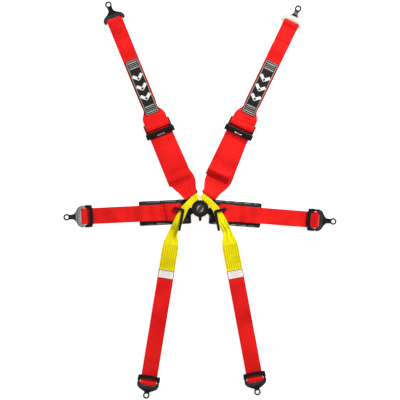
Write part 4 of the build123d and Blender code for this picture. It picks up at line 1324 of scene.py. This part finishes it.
def swell(pad, cap):
    """Pressure inside the cloth for a few frames; no point moves further than the cap."""
    before = read_points(pad.data)
    cloth = pad.modifiers.new("swell", "CLOTH")
    cloth.settings.use_pressure = True
    cloth.settings.uniform_pressure_force = PRESSURE
    cloth.settings.effector_weights.gravity = 0.0
    cloth.settings.quality = 6
    scene = bpy.context.scene
    for number in range(1, SWELL_FRAMES + 1):
        scene.frame_set(number)
    after = read_points(pad.evaluated_get(bpy.context.evaluated_depsgraph_get()).data)
    pad.modifiers.remove(cloth)
    scene.frame_set(1)
    move = after - before
    size = np.linalg.norm(move, axis=1, keepdims=True)
    move *= np.minimum(1, cap * MM / np.maximum(size, 1e-9))
    pad.data.vertices.foreach_set("co", (before + move).ravel())
    pad.data.update()
    print(pad.name, "moved up to", round(float(np.linalg.norm(move, axis=1).max() / MM), 2), "mm")


print("pad", PAD_LONG, "by", PAD_WIDE)

# %% [markdown]
# ## Make the pads
# Remesh gives the block even faces, which a cloth simulation needs. Subdivision smooths the result, and
# the top is kept just below the belt.

# %% Swelled pads
PAD_LOW, PAD_HIGH = 0.2, 6.8
VOXEL = 2.4
for side in SIDES:
    pad = slab(lap_line[side], PAD_MIDDLE, 0, 0.9, PAD_LONG - 3, PAD_WIDE - 3, PAD_T - 2.2, edge=1.8)
    pad.name = f"{side}_lap_cushion"
    select_only(pad)
    remesh = pad.modifiers.new("even", "REMESH")
    remesh.mode = "VOXEL"
    remesh.voxel_size = VOXEL * MM
    bpy.ops.object.modifier_apply(modifier=remesh.name)
    swell(pad, PAD_CAP)
    smooth = pad.modifiers.new("smooth", "SUBSURF")
    smooth.levels = 1
    smooth.render_levels = 1
    bpy.ops.object.modifier_apply(modifier=smooth.name)
    bpy.ops.object.shade_smooth()
    points = read_points(pad.data)
    points[:, 2] = np.clip(points[:, 2], PAD_LOW * MM, PAD_HIGH * MM)
    pad.data.vertices.foreach_set("co", points.ravel())
    paint(pad, pad_cloth)
    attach(pad, INNER_BODY[side])
    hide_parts(f"{side}_lap_pad")

# %% [markdown]
# ## Bound edges of the pads
# A narrow woven tape closes the pad's edge. A closed curve with a round section follows the outline.

# %% Pad bindings
BINDING_R = 1.7
BINDING_Z = 3.2
BINDING_INSET = 2.0
CORNER_R = 2.5


def pad_outline(line):
    """Points round the pad, with a short arc at each corner."""
    half_long, half_wide = PAD_LONG / 2 - BINDING_INSET, PAD_WIDE / 2 - BINDING_INSET
    points = []
    for cu, cv, first_angle in ((1, 1, 0), (-1, 1, 90), (-1, -1, 180), (1, -1, 270)):
        for angle in np.radians(np.linspace(first_angle, first_angle + 90, 6)):
            points.append(line.at(PAD_MIDDLE + cu * (half_long - CORNER_R) + CORNER_R * math.cos(angle),
                                  cv * (half_wide - CORNER_R) + CORNER_R * math.sin(angle), BINDING_Z))
    return points


for side in SIDES:
    outline = pad_outline(lap_line[side])
    curve = bpy.data.curves.new(f"{side}_pad_binding", "CURVE")
    curve.dimensions = "3D"
    curve.bevel_depth = BINDING_R * MM
    curve.bevel_resolution = 3
    spline = curve.splines.new("POLY")
    spline.points.add(len(outline) - 1)
    for point, place in zip(spline.points, outline):
        point.co = (*(place * MM), 1)
    spline.use_cyclic_u = True
    binding = mesh_of_curve(f"{side}_pad_binding", curve)
    bpy.ops.object.shade_smooth()
    paint(binding, label_cloth)
    ride_in(binding, INNER_BODY[side])
    print(binding.name, "faces", len(binding.data.polygons))

# %% [markdown]
# ## Marks on the release knob
# Two plain turn arrows are set in the knob's centre disc. An arrow's shaft is a short edge spun into an
# arc, and its head is a three-sided circle.

# %% Knob arrows
ARROW_R = 8.0
ARROW_WIDE = 1.5
ARROW_FROM = math.radians(20)
ARROW_SWEEP = math.radians(105)
HEAD_R = 3.0
badge_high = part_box("knob_badge")[1]
marks = []
for start in (0.0, math.pi):
    bpy.ops.object.select_all(action="DESELECT")
    bpy.ops.mesh.primitive_plane_add(size=1.0, location=(ARROW_R, 0, 0))
    arc = bpy.context.object
    arc.scale = (ARROW_WIDE, 0.02, 1)
    bpy.ops.object.transform_apply(location=True, rotation=True, scale=True)
    bpy.ops.object.mode_set(mode="EDIT")
    bpy.ops.mesh.select_all(action="SELECT")
    bpy.ops.mesh.spin(steps=16, angle=ARROW_SWEEP, center=(0, 0, 0), axis=(0, 0, 1), dupli=False)
    bpy.ops.object.mode_set(mode="OBJECT")
    arc.data.transform(Matrix.Rotation(start + ARROW_FROM, 4, "Z"))
    marks.append(arc)
    bpy.ops.object.select_all(action="DESELECT")
    bpy.ops.mesh.primitive_circle_add(vertices=3, radius=HEAD_R, fill_type="NGON")
    head = bpy.context.object
    head.data.transform(Matrix.Rotation(math.radians(90), 4, "Z"))
    head.data.transform(Matrix.Translation((ARROW_R, 0.6, 0)))
    head.data.transform(Matrix.Rotation(start + ARROW_FROM + ARROW_SWEEP, 4, "Z"))
    marks.append(head)
arrows = joined("knob_arrows", marks, mark_paint)
arrows.data.transform(Matrix.Scale(MM, 4))
arrows.data.transform(Matrix.Translation((0, 0, badge_high.z + 0.02 * MM)))
bpy.context.view_layer.objects.active = arrows
solid = arrows.modifiers.new("raised", "SOLIDIFY")
solid.thickness = 0.25 * MM
solid.offset = 1
bpy.ops.object.modifier_apply(modifier=solid.name)
ride_in(arrows, "release")
print("arrows", len(arrows.data.polygons))
